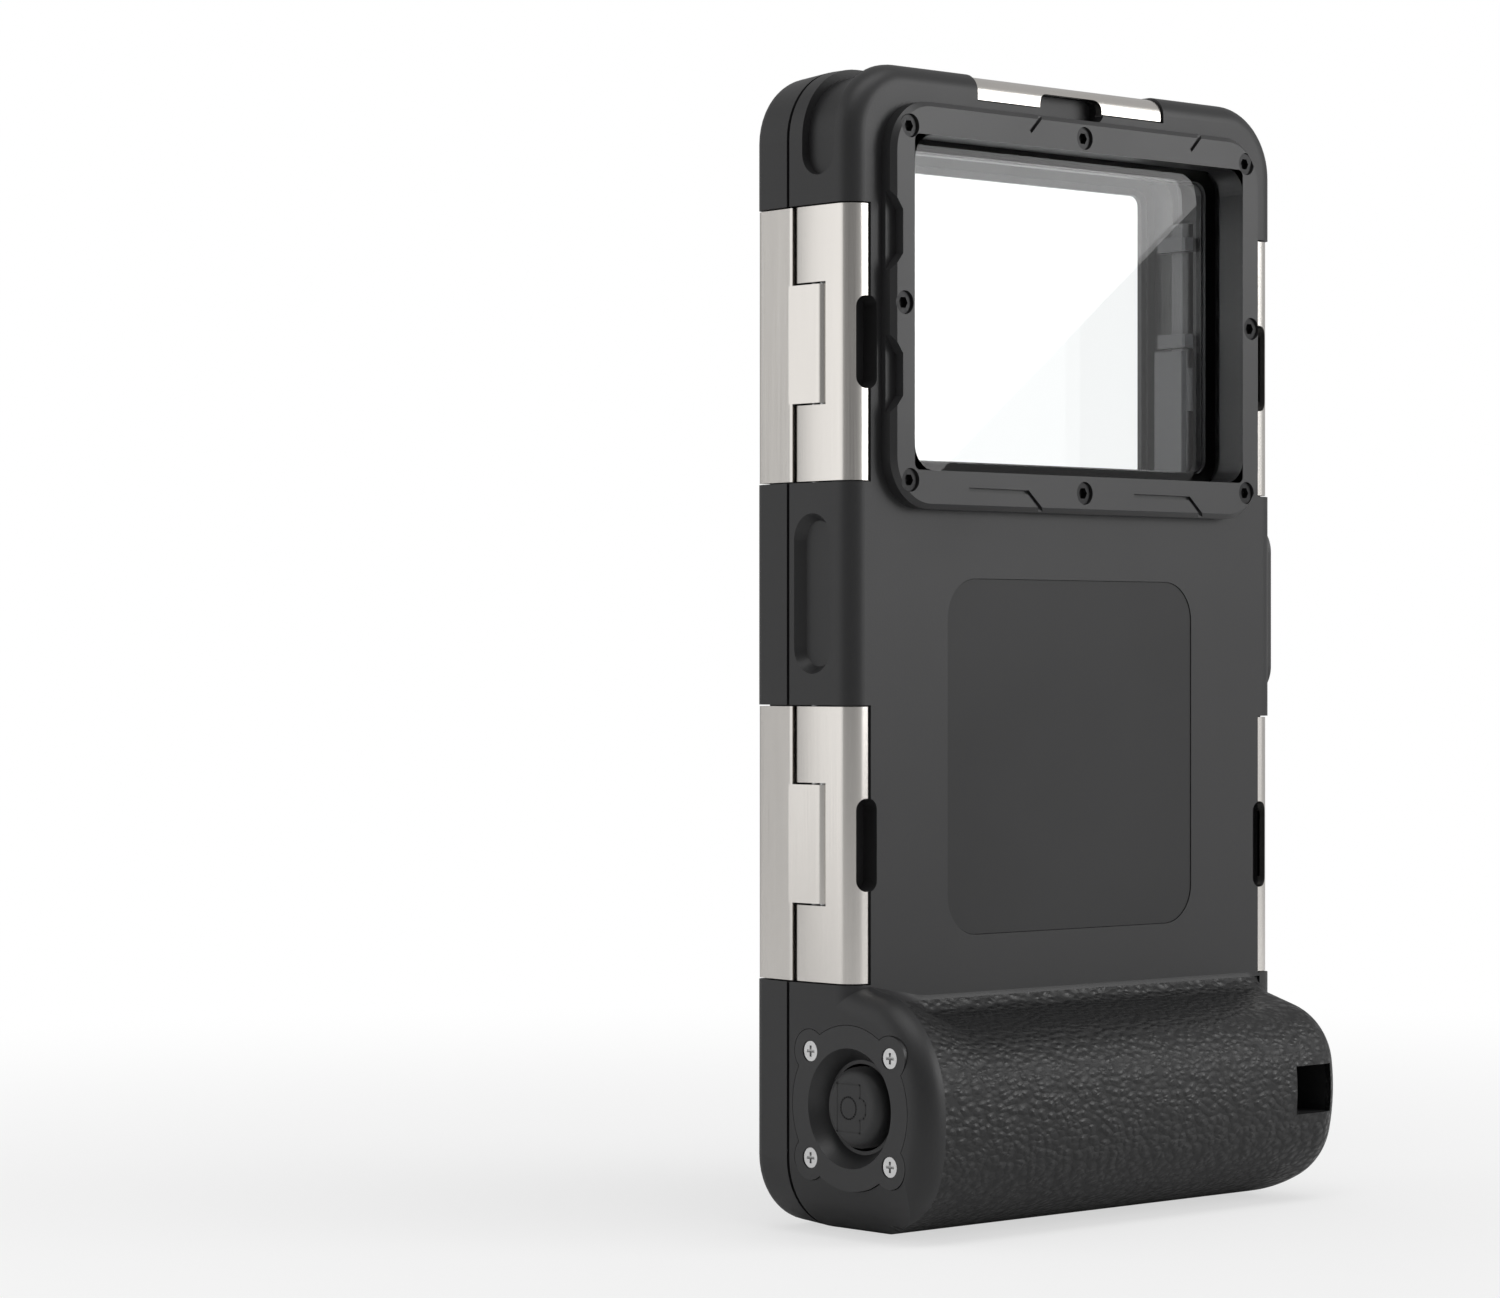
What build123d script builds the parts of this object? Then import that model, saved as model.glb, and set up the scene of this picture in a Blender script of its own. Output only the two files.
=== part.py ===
import os
from math import atan2, degrees

from build123d import *

# Waterproof dive housing for a phone: two moulded shells held shut by six draw latches,
# with a window over the screen, a screwed-on camera window and a grip with a shutter button.
# Lengths are in millimetres. +Z is up, -Y is the camera side, +Y the screen side and -X the shutter side.

# Body
body_width = 110.0
body_height = 202.6
rear_depth = 15.6
cover_depth = 9.6
corner_radius = 13.0
rear_edge_radius = 3.6
cover_edge_radius = 2.6
parting_gap = 0.35
parting_gap_depth = 1.0

# Cavity for the phone
cavity_width = body_width - 21.0
cavity_bottom = 10.5
cavity_top = body_height - 10.6
cavity_corner = 5.0
rear_wall = 3.2

# Grip
grip_depth = 34.0
grip_top = 41.2
grip_crown = 36.0
collar_top = 43.3
collar_crown = 40.2
base_flat = 10.5
skin = 1.2
shutter_end_radius = 4.5
strap_end_radius = 8.0
collar_width = 5.0
collar_blend = 12.0

# Screen window in the cover
screen_width = body_width - 30.0
screen_bottom = 16.0
screen_top = body_height - 15.6
screen_bevel = 7.5
screen_bevel_depth = 3.0
window_lip = 1.0
screen_glass = 2.4
screen_gasket = 0.6
window_margin = 3.2
slip = 0.2

# Camera window and its screwed bezel
bezel_width = body_width - 15.0
bezel_top = body_height - 6.6
bezel_bottom = bezel_top - 70.5
bezel_proud = 3.0
bezel_corner = 9.0
view_width = bezel_width - 10.2
view_bottom = bezel_bottom + 6.7
view_top = bezel_top - 5.8
view_corner = 4.5
shelf_height = bezel_bottom + 1.5
bezel_notch_depth = 2.3
groove_width = 0.7
groove_depth = 0.7
bezel_wall = 0.9
camera_glass = 2.2
camera_gasket = 0.8
camera_glass_face = 12.8
camera_ledge = 2.0
ledge_width = 2.2
bezel_screw_head = 3.9
bezel_screw_shank = 1.8
bezel_screw_length = 7.0
head_height = 1.6

# Draw latches, each in its own frame: u points out of the body's side and v runs to the rear
top_margin = 24.85
middle_room = 41.5
latch_length = (body_height - top_margin - grip_top - 0.05 - middle_room) / 2
latch_gap = 0.25
latch_sheet = 1.4
latch_inset = 0.4
latch_clearance = 0.2
lever_front = 1.2
lever_flange = 4.3
link_rear = 0.7
link_flange = 5.0
base_pivot_depth = 3.1
base_pivot_back = 3.9
base_knuckle = 2.7
link_pivot_depth = 2.3
link_pivot_back = 6.7
link_knuckle = 1.9
base_pin_radius = 0.9
link_pin_radius = 0.8
running_clearance = 0.05
pin_fit = 0.02
tongue_length = 20.5
tongue_gap = 0.35
pin_seat = 3.0
notch_length = 16.0
notch_start = 2.2
notch_reach = 6.4
notch_corner = 1.9
cover_draft = 0.7
side_latch_top = body_height - top_margin - latch_length / 2
shutter_side_latch_low = collar_top + 0.55 + latch_length / 2
strap_side_latch_low = grip_top + 0.05 + latch_length / 2

# Shutter release in the grip's end
shutter_back = 15.4
shutter_height = 22.7
shutter_plate_radius = 14.2
shutter_plate_thickness = 2.0
lobe_back = 9.85
lobe_rise = 9.2
lobe_radius = 3.8
bowl_radius = 10.3
button_radius = 7.0
button_gap = 0.5
shutter_screw_head = 3.5
shutter_screw_shank = 1.8

# Tripod plate
plate_height = (side_latch_top + strap_side_latch_low) / 2 - 0.5
plate_back = 7.1
plate_length = 33.5
plate_width = 12.0
plate_proud = 2.2
plate_sink = 1.5
thread_minor_radius = 2.6
thread_depth = 8.0
insert_radius = 4.4
tripod_screw_spacing = 22.0

# Strap slot through the grip's other end
slot_low = 16.5
slot_high = 25.3
slot_inner = body_width / 2 - 15.0
slot_outer = body_width / 2 - 5.0
slot_back = 19.0
slot_end_width = 5.5

# Surface recesses
label_width = body_width - 47.0
label_bottom = grip_top + 10.0
label_top = bezel_bottom - 11.8
label_corner = 7.0
label_thickness = 0.5
label_inset = 0.15
thumb_bottom = shutter_side_latch_low + latch_length / 2 + 5.65
thumb_top = side_latch_top - latch_length / 2 - 5.55
thumb_width = 9.1
thumb_back = 6.1
thumb_depth = 1.8
flute_width = 8.0
flute_back = 7.6
flute_depth = 1.6
flute_bottom = body_height - 19.6
flute_inner = body_width / 2 - 19.0
scoop_depth = 0.5

# Fittings inside
platform_width = cavity_width - 37.0
platform_bottom = cavity_bottom + 53.5
platform_top = shelf_height - 1.0
platform_face = 6.5
platform_length = platform_top - platform_bottom
platform_screw_height = platform_bottom + platform_length * 0.758
rod_offset = cavity_width / 2 - 3.5
rod_back = 4.6
rod_radius = 2.1
rod_flat = 1.6
rod_top = body_height - 21.6
rod_foot = 16.5
bracket_heights = (34.0, rod_top - 22.0, rod_top - 4.0)
bracket_thickness = 2.6
finger_top = rod_top - 24.0
finger_bottom = finger_top - 26.0
finger_collar = (finger_top - 11.0, finger_top - 3.0)
slider_offset = platform_width / 2 - 5.0
slider_width = 6.6
slider_length = platform_length * 0.355
slider_travel = 3.6
slider_slot_bottom = platform_bottom + platform_length * 0.097
rack_half_width = 14.0
rack_bottom = 14.0
rack_top = 45.0
rack_depth = 1.6
rest_width = 6.0
rest_gap = 3.5

os.makedirs("parts", exist_ok=True)

# The whole case, strap plate and grip included, is centred on the frame's origin.
datum_x = -plate_proud / 2
datum_y = (grip_depth - cover_depth) / 2
half_width = body_width / 2
half_cavity = cavity_width / 2
floor_depth = rear_depth - rear_wall
half_latch = latch_length / 2


def back(depth):
    """Plane facing the rear, a given depth behind the parting plane: local x is X and local y is Z."""
    return Plane(origin=(datum_x, datum_y - depth, 0), x_dir=(1, 0, 0), z_dir=(0, -1, 0))


def side(offset):
    """Plane facing the shutter side, offset from the middle: local x runs to the rear and local y is Z."""
    return Plane(origin=(datum_x - offset, datum_y, 0), x_dir=(0, -1, 0), z_dir=(-1, 0, 0))


def level(height):
    """Level plane at a height: local x is X and local y points to the screen side."""
    return Plane(origin=(datum_x, datum_y, height), x_dir=(1, 0, 0), z_dir=(0, 0, 1))


def box(x_range, depth_range, z_range, mode=Mode.ADD):
    """Block between two values of X, of depth behind the parting plane and of Z, in the open part."""
    with BuildSketch(back(depth_range[0])) as outline:
        with Locations(((x_range[0] + x_range[1]) / 2, (z_range[0] + z_range[1]) / 2)):
            Rectangle(x_range[1] - x_range[0], z_range[1] - z_range[0])
    extrude(outline.sketch, amount=depth_range[1] - depth_range[0], mode=mode)


def rounded(half, z_range, radius, grow=0.0, mode=Mode.ADD):
    """Rounded rectangle about the middle of the case, grown all round, in the open sketch."""
    with Locations((0, (z_range[0] + z_range[1]) / 2)):
        RectangleRounded(2 * (half + grow), z_range[1] - z_range[0] + 2 * grow, radius + grow, mode=mode)


def grip_section(offset, crown, top, waisted, inset):
    """Section of the grip: flat base, heel, palm and shoulder, then a waist or a plain run to the rear face."""
    with BuildSketch(side(offset)) as section:
        with BuildLine():
            base = Line((0, inset), (base_flat, inset))
            under = TangentArc(base @ 1, (grip_depth - 7.5 - inset / 2, 4 + inset), tangent=base % 1)
            heel = TangentArc(under @ 1, (grip_depth - 1 - inset, 12.5 + inset / 4), tangent=under % 1)
            palm = TangentArc(heel @ 1, (grip_depth - 0.4 - inset, 26), tangent=heel % 1)
            shoulder = TangentArc(palm @ 1, (grip_depth - 9 - inset / 3, crown - inset), tangent=palm % 1)
            if waisted:
                slope = Line(shoulder @ 1, shoulder @ 1 + (shoulder % 1) * 7)
                TangentArc(slope @ 1, (rear_depth - inset, top), tangent=slope % 1)
            else:
                slope = TangentArc(shoulder @ 1, (rear_depth + 4, top - 1 - inset), tangent=shoulder % 1)
                TangentArc(slope @ 1, (rear_depth - inset, top - inset), tangent=slope % 1)
            Line((rear_depth - inset, top if waisted else top - inset), (0, top))
            Line((0, top), (0, inset))
        make_face()
    return section.sketch


def outer_end_edges(part, offset):
    """Edges of the grip's end face that are open to the outside."""
    end = part.faces().sort_by(Axis.X)[0 if offset > 0 else -1]
    return [edge for edge in end.edges() if edge.center().Y < datum_y - base_flat - 0.5]


def make_grip(inset):
    """Grip as one solid, with a taller collar at the shutter end that blends into the waisted palm."""
    collar_inner = half_width - collar_width
    blend_inner = collar_inner - collar_blend
    with BuildPart() as grip:
        extrude(grip_section(collar_inner, collar_crown, collar_top, False, inset), amount=collar_width)
        fillet(outer_end_edges(grip.part, 1), shutter_end_radius - inset)
    with BuildPart() as blend:
        loft([grip_section(blend_inner, grip_crown, grip_top, True, inset),
              grip_section(collar_inner, collar_crown, collar_top, False, inset)], ruled=True)
    with BuildPart() as palm:
        extrude(grip_section(blend_inner, grip_crown, grip_top, True, inset),
                amount=-(blend_inner + half_width - inset))
        fillet(outer_end_edges(palm.part, -1), strap_end_radius - inset)
    return grip.part + blend.part + palm.part


def latch_frames():
    """Frame of each latch: its origin is on the body's side at the parting plane, x points out, y to the rear."""
    places = {
        "shutter_side_upper": ((-half_width, side_latch_top), (-1, 0, 0), (0, 0, 1)),
        "shutter_side_lower": ((-half_width, shutter_side_latch_low), (-1, 0, 0), (0, 0, 1)),
        "tripod_side_upper": ((half_width, side_latch_top), (1, 0, 0), (0, 0, -1)),
        "tripod_side_lower": ((half_width, strap_side_latch_low), (1, 0, 0), (0, 0, -1)),
        "top": ((0, body_height), (0, 0, 1), (1, 0, 0)),
        "bottom": ((0, 0), (0, 0, -1), (-1, 0, 0)),
    }
    return {
        name: Plane(origin=(datum_x + place[0], datum_y, place[1]), x_dir=out, z_dir=along)
        for name, (place, out, along) in places.items()
    }


def latch_block(frame, u_range, v_range, length, mode=Mode.ADD):
    """Block in a latch's frame, centred along the latch."""
    with BuildSketch(frame) as outline:
        with Locations(((u_range[0] + u_range[1]) / 2, (v_range[0] + v_range[1]) / 2)):
            Rectangle(u_range[1] - u_range[0], v_range[1] - v_range[0])
    extrude(outline.sketch, amount=length / 2, both=True, mode=mode)


def latch_rod(frame, centre, radius, start, end, mode=Mode.ADD):
    """Round bar along a latch between two stations."""
    with BuildSketch(frame.offset(start)) as outline:
        with Locations(centre):
            Circle(radius)
    extrude(outline.sketch, amount=end - start, mode=mode)


plate_face = -latch_inset
plate_inner = -latch_inset - latch_sheet
base_pivot = (-base_pivot_depth, base_pivot_back)
link_pivot = (-link_pivot_depth, link_pivot_back)
lever_back = rear_depth - latch_inset
link_front = -(cover_depth - latch_inset)
pocket_length = latch_length + 2 * latch_gap
pocket_floor = plate_inner - latch_clearance
trough_floor = -base_pivot_depth - base_knuckle - 0.9
trough_back = link_pivot_back + link_knuckle + 0.6
tongue_end = link_pivot_back + link_knuckle


def latch_notch(frame, start, end):
    """Finger notch with round corners, cut from front to rear behind a lever's side plate."""
    face = Plane(origin=frame.from_local_coords((0, start, 0)), x_dir=frame.x_dir, z_dir=frame.y_dir)
    with BuildSketch(face) as outline:
        with Locations((-(notch_start + notch_reach) / 2, 0)):
            RectangleRounded(notch_reach - notch_start, notch_length, notch_corner)
    extrude(outline.sketch, amount=end - start, mode=Mode.SUBTRACT)


def cut_shell_pocket(frame, under_grip):
    """Pocket in the rear shell for a lever, its knuckles, its pin and a finger."""
    reach = rear_depth + (0.3 if under_grip else 1.0)
    notch_back = rear_depth + (3.4 if under_grip else 1.0)
    flange_floor = lever_back - latch_sheet - latch_clearance
    latch_block(frame, (pocket_floor, 1), (-1, reach), pocket_length, Mode.SUBTRACT)
    latch_block(frame, (plate_face - lever_flange - 0.3, 1), (flange_floor, reach), pocket_length, Mode.SUBTRACT)
    latch_block(frame, (trough_floor, 1), (-1, trough_back), pocket_length, Mode.SUBTRACT)
    latch_notch(frame, flange_floor - 1.4, notch_back)
    latch_rod(frame, base_pivot, base_pin_radius + pin_fit, -half_latch - pin_seat, half_latch + pin_seat,
              Mode.SUBTRACT)


def cut_cover_pocket(frame):
    """Pocket in the front cover for a link."""
    floor = link_front + latch_sheet + latch_clearance
    latch_block(frame, (pocket_floor - cover_draft, 1), (-cover_depth - 1, 1), pocket_length, Mode.SUBTRACT)
    latch_block(frame, (plate_face - link_flange - 0.3, 1), (-cover_depth - 1, floor), pocket_length, Mode.SUBTRACT)


def make_lever(frame):
    """Cast lever: side plate, rear flange with a finger notch, and two knuckled wings beside the cut-out."""
    wing_inner = tongue_length / 2 + tongue_gap
    with BuildPart() as lever:
        with BuildSketch(frame) as plate:
            with BuildLine():
                Polyline(
                    (plate_inner, lever_front),
                    (plate_face, lever_front),
                    (plate_face, lever_back),
                    (plate_face - lever_flange, lever_back),
                    (plate_face - lever_flange, lever_back - latch_sheet),
                    (plate_inner, lever_back - latch_sheet),
                    close=True,
                )
            make_face()
            for corner, radius in (((plate_face, lever_front), 1.0), ((plate_face, lever_back), 1.3)):
                fillet(plate.vertices().sort_by_distance(corner)[0], radius)
        extrude(amount=half_latch, both=True)
        for direction in (-1, 1):
            with BuildSketch(frame.offset(direction * wing_inner)):
                with Locations(base_pivot):
                    Circle(base_knuckle)
                with Locations(link_pivot):
                    Circle(link_knuckle)
                with Locations((-1.6, (base_pivot_back + link_pivot_back) / 2)):
                    Rectangle(2.2, link_pivot_back - base_pivot_back)
            extrude(amount=direction * (half_latch - wing_inner))
        latch_block(frame, (-9, 1), (0, tongue_end + 0.5), 2 * wing_inner, Mode.SUBTRACT)
        latch_notch(frame, rear_depth - 6, rear_depth + 1)
        latch_rod(frame, base_pivot, base_pin_radius + running_clearance, -half_latch, half_latch, Mode.SUBTRACT)
        latch_rod(frame, link_pivot, link_pin_radius + pin_fit, -wing_inner - pin_seat, wing_inner + pin_seat,
                  Mode.SUBTRACT)
    return lever.part


def make_link(frame):
    """Cast link: side plate, front flange, and a tongue that ends in the knuckle on the lever's pin."""
    with BuildPart() as link:
        with BuildSketch(frame) as plate:
            with BuildLine():
                Polyline(
                    (plate_inner, link_rear),
                    (plate_face, link_rear),
                    (plate_face, 0),
                    (plate_face - cover_draft, link_front),
                    (plate_face - link_flange, link_front),
                    (plate_face - link_flange, link_front + latch_sheet),
                    (plate_inner - cover_draft, link_front + latch_sheet),
                    (plate_inner, 0),
                    close=True,
                )
            make_face()
            fillet(plate.vertices().sort_by_distance((plate_face - cover_draft, link_front))[0], 1.3)
        extrude(amount=half_latch, both=True)
        with BuildSketch(frame):
            with Locations(((plate_inner + plate_face) / 2, (link_rear + link_pivot_back) / 2 - 0.5)):
                Rectangle(latch_sheet, link_pivot_back - link_rear + 1)
            with Locations(link_pivot):
                Circle(link_knuckle)
        extrude(amount=tongue_length / 2, both=True)
        latch_rod(frame, link_pivot, link_pin_radius + running_clearance, -tongue_length / 2, tongue_length / 2,
                  Mode.SUBTRACT)
    return link.part


def make_screw(plane, places, head_radius, shank_radius, length, hexagon):
    """Group of screws whose heads face out of the plane, with a hexagon or a cross recess."""
    with BuildPart() as screws:
        with BuildSketch(plane):
            with Locations(places):
                Circle(head_radius)
        extrude(amount=-head_height)
        with BuildSketch(plane.offset(-head_height)):
            with Locations(places):
                Circle(shank_radius)
        extrude(amount=-(length - head_height))
        with BuildSketch(plane):
            with Locations(places):
                if hexagon:
                    RegularPolygon(head_radius * 0.55, 6)
                else:
                    Rectangle(head_radius * 1.1, head_radius * 0.28)
                    Rectangle(head_radius * 0.28, head_radius * 1.1)
        extrude(amount=-head_height * 0.6, mode=Mode.SUBTRACT)
    return screws.part


latches = latch_frames()
view_middle = (view_bottom + view_top) / 2
half_view = view_width / 2
bezel_screw_places = [
    (-half_view - 1.0, view_top + 1.2), (half_view + 1.0, view_top + 1.2),
    (-half_view - 1.0, view_bottom - 1.8), (half_view + 1.0, view_bottom - 1.8),
    (0, view_top + 2.45), (0, view_bottom - 3.0),
    (-half_view - 2.35, view_middle - 0.3), (half_view + 2.35, view_middle - 0.3),
]
view_heights = (view_bottom, view_top)
screen_heights = (screen_bottom, screen_top)
half_screen = screen_width / 2
cavity_heights = (cavity_bottom, cavity_top)
ledge_face = camera_glass_face - camera_glass - camera_gasket
ledge_front = ledge_face - camera_ledge

# Rear shell with the grip's core
with BuildPart() as grip_block:
    add(make_grip(0))
    with BuildSketch(back(-1)):
        rounded(half_width, (0, body_height), corner_radius)
    extrude(amount=grip_depth + 5, mode=Mode.INTERSECT)

with BuildPart() as skin_region:
    box((-half_width + collar_width, half_width - 4.5), (rear_depth - 2, grip_depth + 5), (0.6, grip_top - 0.8))
    box((-half_width, half_width), (0, 20), (0, 20), Mode.SUBTRACT)
    add(make_grip(skin), mode=Mode.SUBTRACT)

with BuildPart() as slot_cut:
    box((slot_inner, slot_outer), (slot_back, grip_depth + 5), (slot_low, slot_high))
    box((slot_inner, half_width + 5), (slot_back, slot_back + slot_end_width), (slot_low, slot_high))

with BuildPart() as grip_skin:
    add(grip_block.part)
    add(skin_region.part, mode=Mode.INTERSECT)
    add(slot_cut.part, mode=Mode.SUBTRACT)
grip_skin.part.label = "grip_skin"
export_step(grip_skin.part, "parts/grip_skin.step")

# Rear shell: outline, grip core, cavity, camera seat, latch pockets and all that is let into it
shutter_cup_radius = bowl_radius + 1.2
cup_back = half_width - 5.0
button_back = cup_back + 0.4
chamber_end = half_width - 9.0
stem_wall_end = half_cavity - 0.7
seal_section = 0.5
stem_radius = 2.0
arm_depth = 19.0
chamber_inner = rod_offset - 5.0
chamber_heights = (17.0, 28.4)
crank_heights = (20.2, 25.2)
screw_face = side(half_width - 0.2)
lobe_places = [
    (shutter_back + x, shutter_height + z) for x in (-lobe_back, lobe_back) for z in (-lobe_rise, lobe_rise)
]
tripod_places = [
    (plate_back, plate_height + z) for z in (-tripod_screw_spacing / 2, tripod_screw_spacing / 2)
]
field_face = half_width + plate_proud - 0.8
slider_slot_length = slider_length + slider_travel + 0.2


def shutter_outline(grow):
    """Round plate with a lobe at each screw, in the open sketch."""
    with Locations((shutter_back, shutter_height)):
        Circle(shutter_plate_radius + grow)
    with Locations(lobe_places):
        Circle(lobe_radius + grow)


def upright_slot(x, z, length, width):
    """Slot with round ends that stands upright, in the open sketch."""
    with Locations((x, z)):
        SlotOverall(length, width, rotation=90)


with BuildPart() as thumb_cut:
    with BuildSketch(side(half_width)):
        upright_slot(thumb_back, (thumb_bottom + thumb_top) / 2, thumb_top - thumb_bottom, thumb_width)
    extrude(amount=-thumb_depth, taper=35)

with BuildPart() as flute_cut:
    with BuildSketch(back(0)):
        rounded(half_width, (0, body_height), corner_radius, 1)
        rounded(half_width, (0, body_height), corner_radius, -flute_depth, Mode.SUBTRACT)
    extrude(amount=rear_depth)
    with BuildSketch(side(flute_inner)):
        upright_slot(flute_back, flute_bottom + 30, 60, flute_width)
    extrude(amount=half_width, mode=Mode.INTERSECT)

with BuildPart() as rear_shell:
    with BuildSketch(back(0)):
        rounded(half_width, (0, body_height), corner_radius)
    extrude(amount=rear_depth)
    fillet(rear_shell.edges().group_by(Axis.Y)[0], rear_edge_radius)
    add(grip_block.part)
    with BuildSketch(back(0)):
        rounded(half_width, (0, body_height), corner_radius, 1)
        rounded(half_width, (0, body_height), corner_radius, -parting_gap_depth, Mode.SUBTRACT)
    extrude(amount=parting_gap, mode=Mode.SUBTRACT)
    with BuildSketch(back(0)):
        rounded(half_cavity, cavity_heights, cavity_corner)
    extrude(amount=ledge_front, mode=Mode.SUBTRACT)
    with BuildSketch(back(ledge_front)):
        rounded(half_cavity, (cavity_bottom, shelf_height), cavity_corner)
    extrude(amount=floor_depth - ledge_front, mode=Mode.SUBTRACT)
    with BuildSketch(back(ledge_face)):
        rounded(half_view, view_heights, view_corner, bezel_wall + 0.1)
    extrude(amount=rear_depth, mode=Mode.SUBTRACT)
    with BuildSketch(back(0)):
        rounded(half_view, view_heights, view_corner, -ledge_width)
    extrude(amount=rear_depth, mode=Mode.SUBTRACT)
    with BuildSketch(back(rear_depth - label_thickness - label_inset)):
        rounded(label_width / 2, (label_bottom, label_top), label_corner)
    extrude(amount=label_thickness + label_inset, mode=Mode.SUBTRACT)
    with BuildSketch(back(floor_depth)):
        rounded(rack_half_width, (rack_bottom, rack_top), 1.0)
    extrude(amount=rack_depth, mode=Mode.SUBTRACT)
    add(thumb_cut.part, mode=Mode.SUBTRACT)
    add(flute_cut.part, mode=Mode.SUBTRACT)
    add(mirror(flute_cut.part, about=side(0)), mode=Mode.SUBTRACT)
    add(skin_region.part, mode=Mode.SUBTRACT)
    add(slot_cut.part, mode=Mode.SUBTRACT)
    for name, frame in latches.items():
        cut_shell_pocket(frame, name == "bottom")
    with BuildSketch(back(rear_depth)):
        with Locations(bezel_screw_places):
            Circle(bezel_screw_shank / 2 + pin_fit)
    extrude(amount=-(rear_depth - ledge_face - 1), mode=Mode.SUBTRACT)
    with BuildSketch(side(half_width)):
        shutter_outline(0.1)
    extrude(amount=-shutter_plate_thickness, mode=Mode.SUBTRACT)
    with BuildSketch(side(half_width)):
        with Locations((shutter_back, shutter_height)):
            Circle(shutter_cup_radius + 0.1)
    extrude(amount=-(half_width - cup_back), mode=Mode.SUBTRACT)
    with BuildSketch(side(cup_back)):
        with Locations((shutter_back, shutter_height)):
            Circle(button_radius + 0.6)
    extrude(amount=-(cup_back - chamber_end), mode=Mode.SUBTRACT)
    with BuildSketch(side(chamber_end)):
        with Locations((shutter_back, shutter_height)):
            Circle(stem_radius + running_clearance)
    extrude(amount=-(chamber_end - stem_wall_end), mode=Mode.SUBTRACT)
    with BuildSketch(side(chamber_end - 0.5)):
        with Locations((shutter_back, shutter_height)):
            Circle(stem_radius + 2 * seal_section + 0.1)
    extrude(amount=-(2 * seal_section + 0.1), mode=Mode.SUBTRACT)
    box((-stem_wall_end, -chamber_inner), (floor_depth - 1, arm_depth), chamber_heights, Mode.SUBTRACT)
    with BuildSketch(side(half_width)):
        with Locations(lobe_places):
            Circle(shutter_screw_shank / 2 + pin_fit)
    extrude(amount=-8, mode=Mode.SUBTRACT)
    with BuildSketch(side(-half_width)):
        upright_slot(plate_back, plate_height, plate_length + 0.1, plate_width + 0.1)
    extrude(amount=plate_sink, mode=Mode.SUBTRACT)
    with BuildSketch(side(-half_width)):
        with Locations((plate_back, plate_height)):
            Circle(insert_radius + pin_fit)
        with Locations(tripod_places):
            Circle(1.1 + pin_fit)
    extrude(amount=7.6, mode=Mode.SUBTRACT)
    with BuildSketch(side(-half_width)):
        with Locations((grip_depth - 13.5, 21)):
            RectangleRounded(17, 26, 8)
    extrude(amount=scoop_depth, mode=Mode.SUBTRACT)

# The shell is cut into simple pieces, so that their collision leaves the openings free.
# The corner with the shutter's bore is cut in four along planes through the bore's axis.
corner_end = 3.0 - chamber_inner
foot_top = chamber_heights[1] + 7.0
corner_pieces = {
    "corner_low_front": ((-1, shutter_back), (-1, shutter_height)),
    "corner_high_front": ((-1, shutter_back), (shutter_height, foot_top)),
    "corner_low_back": ((shutter_back, body_height), (-1, shutter_height)),
    "corner_high_back": ((shutter_back, body_height), (shutter_height, body_height)),
}
with BuildPart() as corner_region:
    box((-half_width - 1, corner_end), (-1, rear_depth), (-1, foot_top))
    box((-half_width - 1, corner_end), (rear_depth, body_height), (-1, body_height))

with BuildPart() as shell_corner:
    add(rear_shell.part)
    add(corner_region.part, mode=Mode.INTERSECT)

for name, (depths, heights) in corner_pieces.items():
    with BuildPart() as piece_region:
        box((-half_width - 1, corner_end), depths, heights)
    with BuildPart() as corner_piece:
        add(shell_corner.part)
        add(piece_region.part, mode=Mode.INTERSECT)
    corner_piece.part.label = name
    export_step(corner_piece.part, f"parts/{name}.step")

with BuildPart() as grip_core:
    add(rear_shell.part)
    split(bisect_by=back(rear_depth), keep=Keep.TOP)
    box((-half_width - 1, corner_end), (rear_depth - 1, body_height), (-1, body_height), Mode.SUBTRACT)
grip_core.part.label = "grip_core"
export_step(grip_core.part, "parts/grip_core.step")

# The frame around the camera window
with BuildPart() as frame_region:
    box((-half_width - 1, half_width + 1), (ledge_front, rear_depth), (shelf_height, body_height + 1))

with BuildPart() as camera_frame:
    add(rear_shell.part)
    add(frame_region.part, mode=Mode.INTERSECT)
camera_frame.part.label = "camera_frame"
export_step(camera_frame.part, "parts/camera_frame.step")

# The foot under the phone bay
with BuildPart() as foot_region:
    box((corner_end, half_width + 1), (-1, rear_depth), (-1, foot_top))

with BuildPart() as shell_foot:
    add(rear_shell.part)
    add(foot_region.part, mode=Mode.INTERSECT)
shell_foot.part.label = "shell_foot"
export_step(shell_foot.part, "parts/shell_foot.step")

with BuildPart() as shell_front:
    add(rear_shell.part)
    split(bisect_by=back(rear_depth), keep=Keep.BOTTOM)
    box((-half_width - 1, half_width + 1), (-1, rear_depth + 1), (-1, foot_top), Mode.SUBTRACT)
    add(frame_region.part, mode=Mode.SUBTRACT)
shell_front.part.label = "rear_shell"
export_step(shell_front.part, "parts/rear_shell.step")

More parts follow.
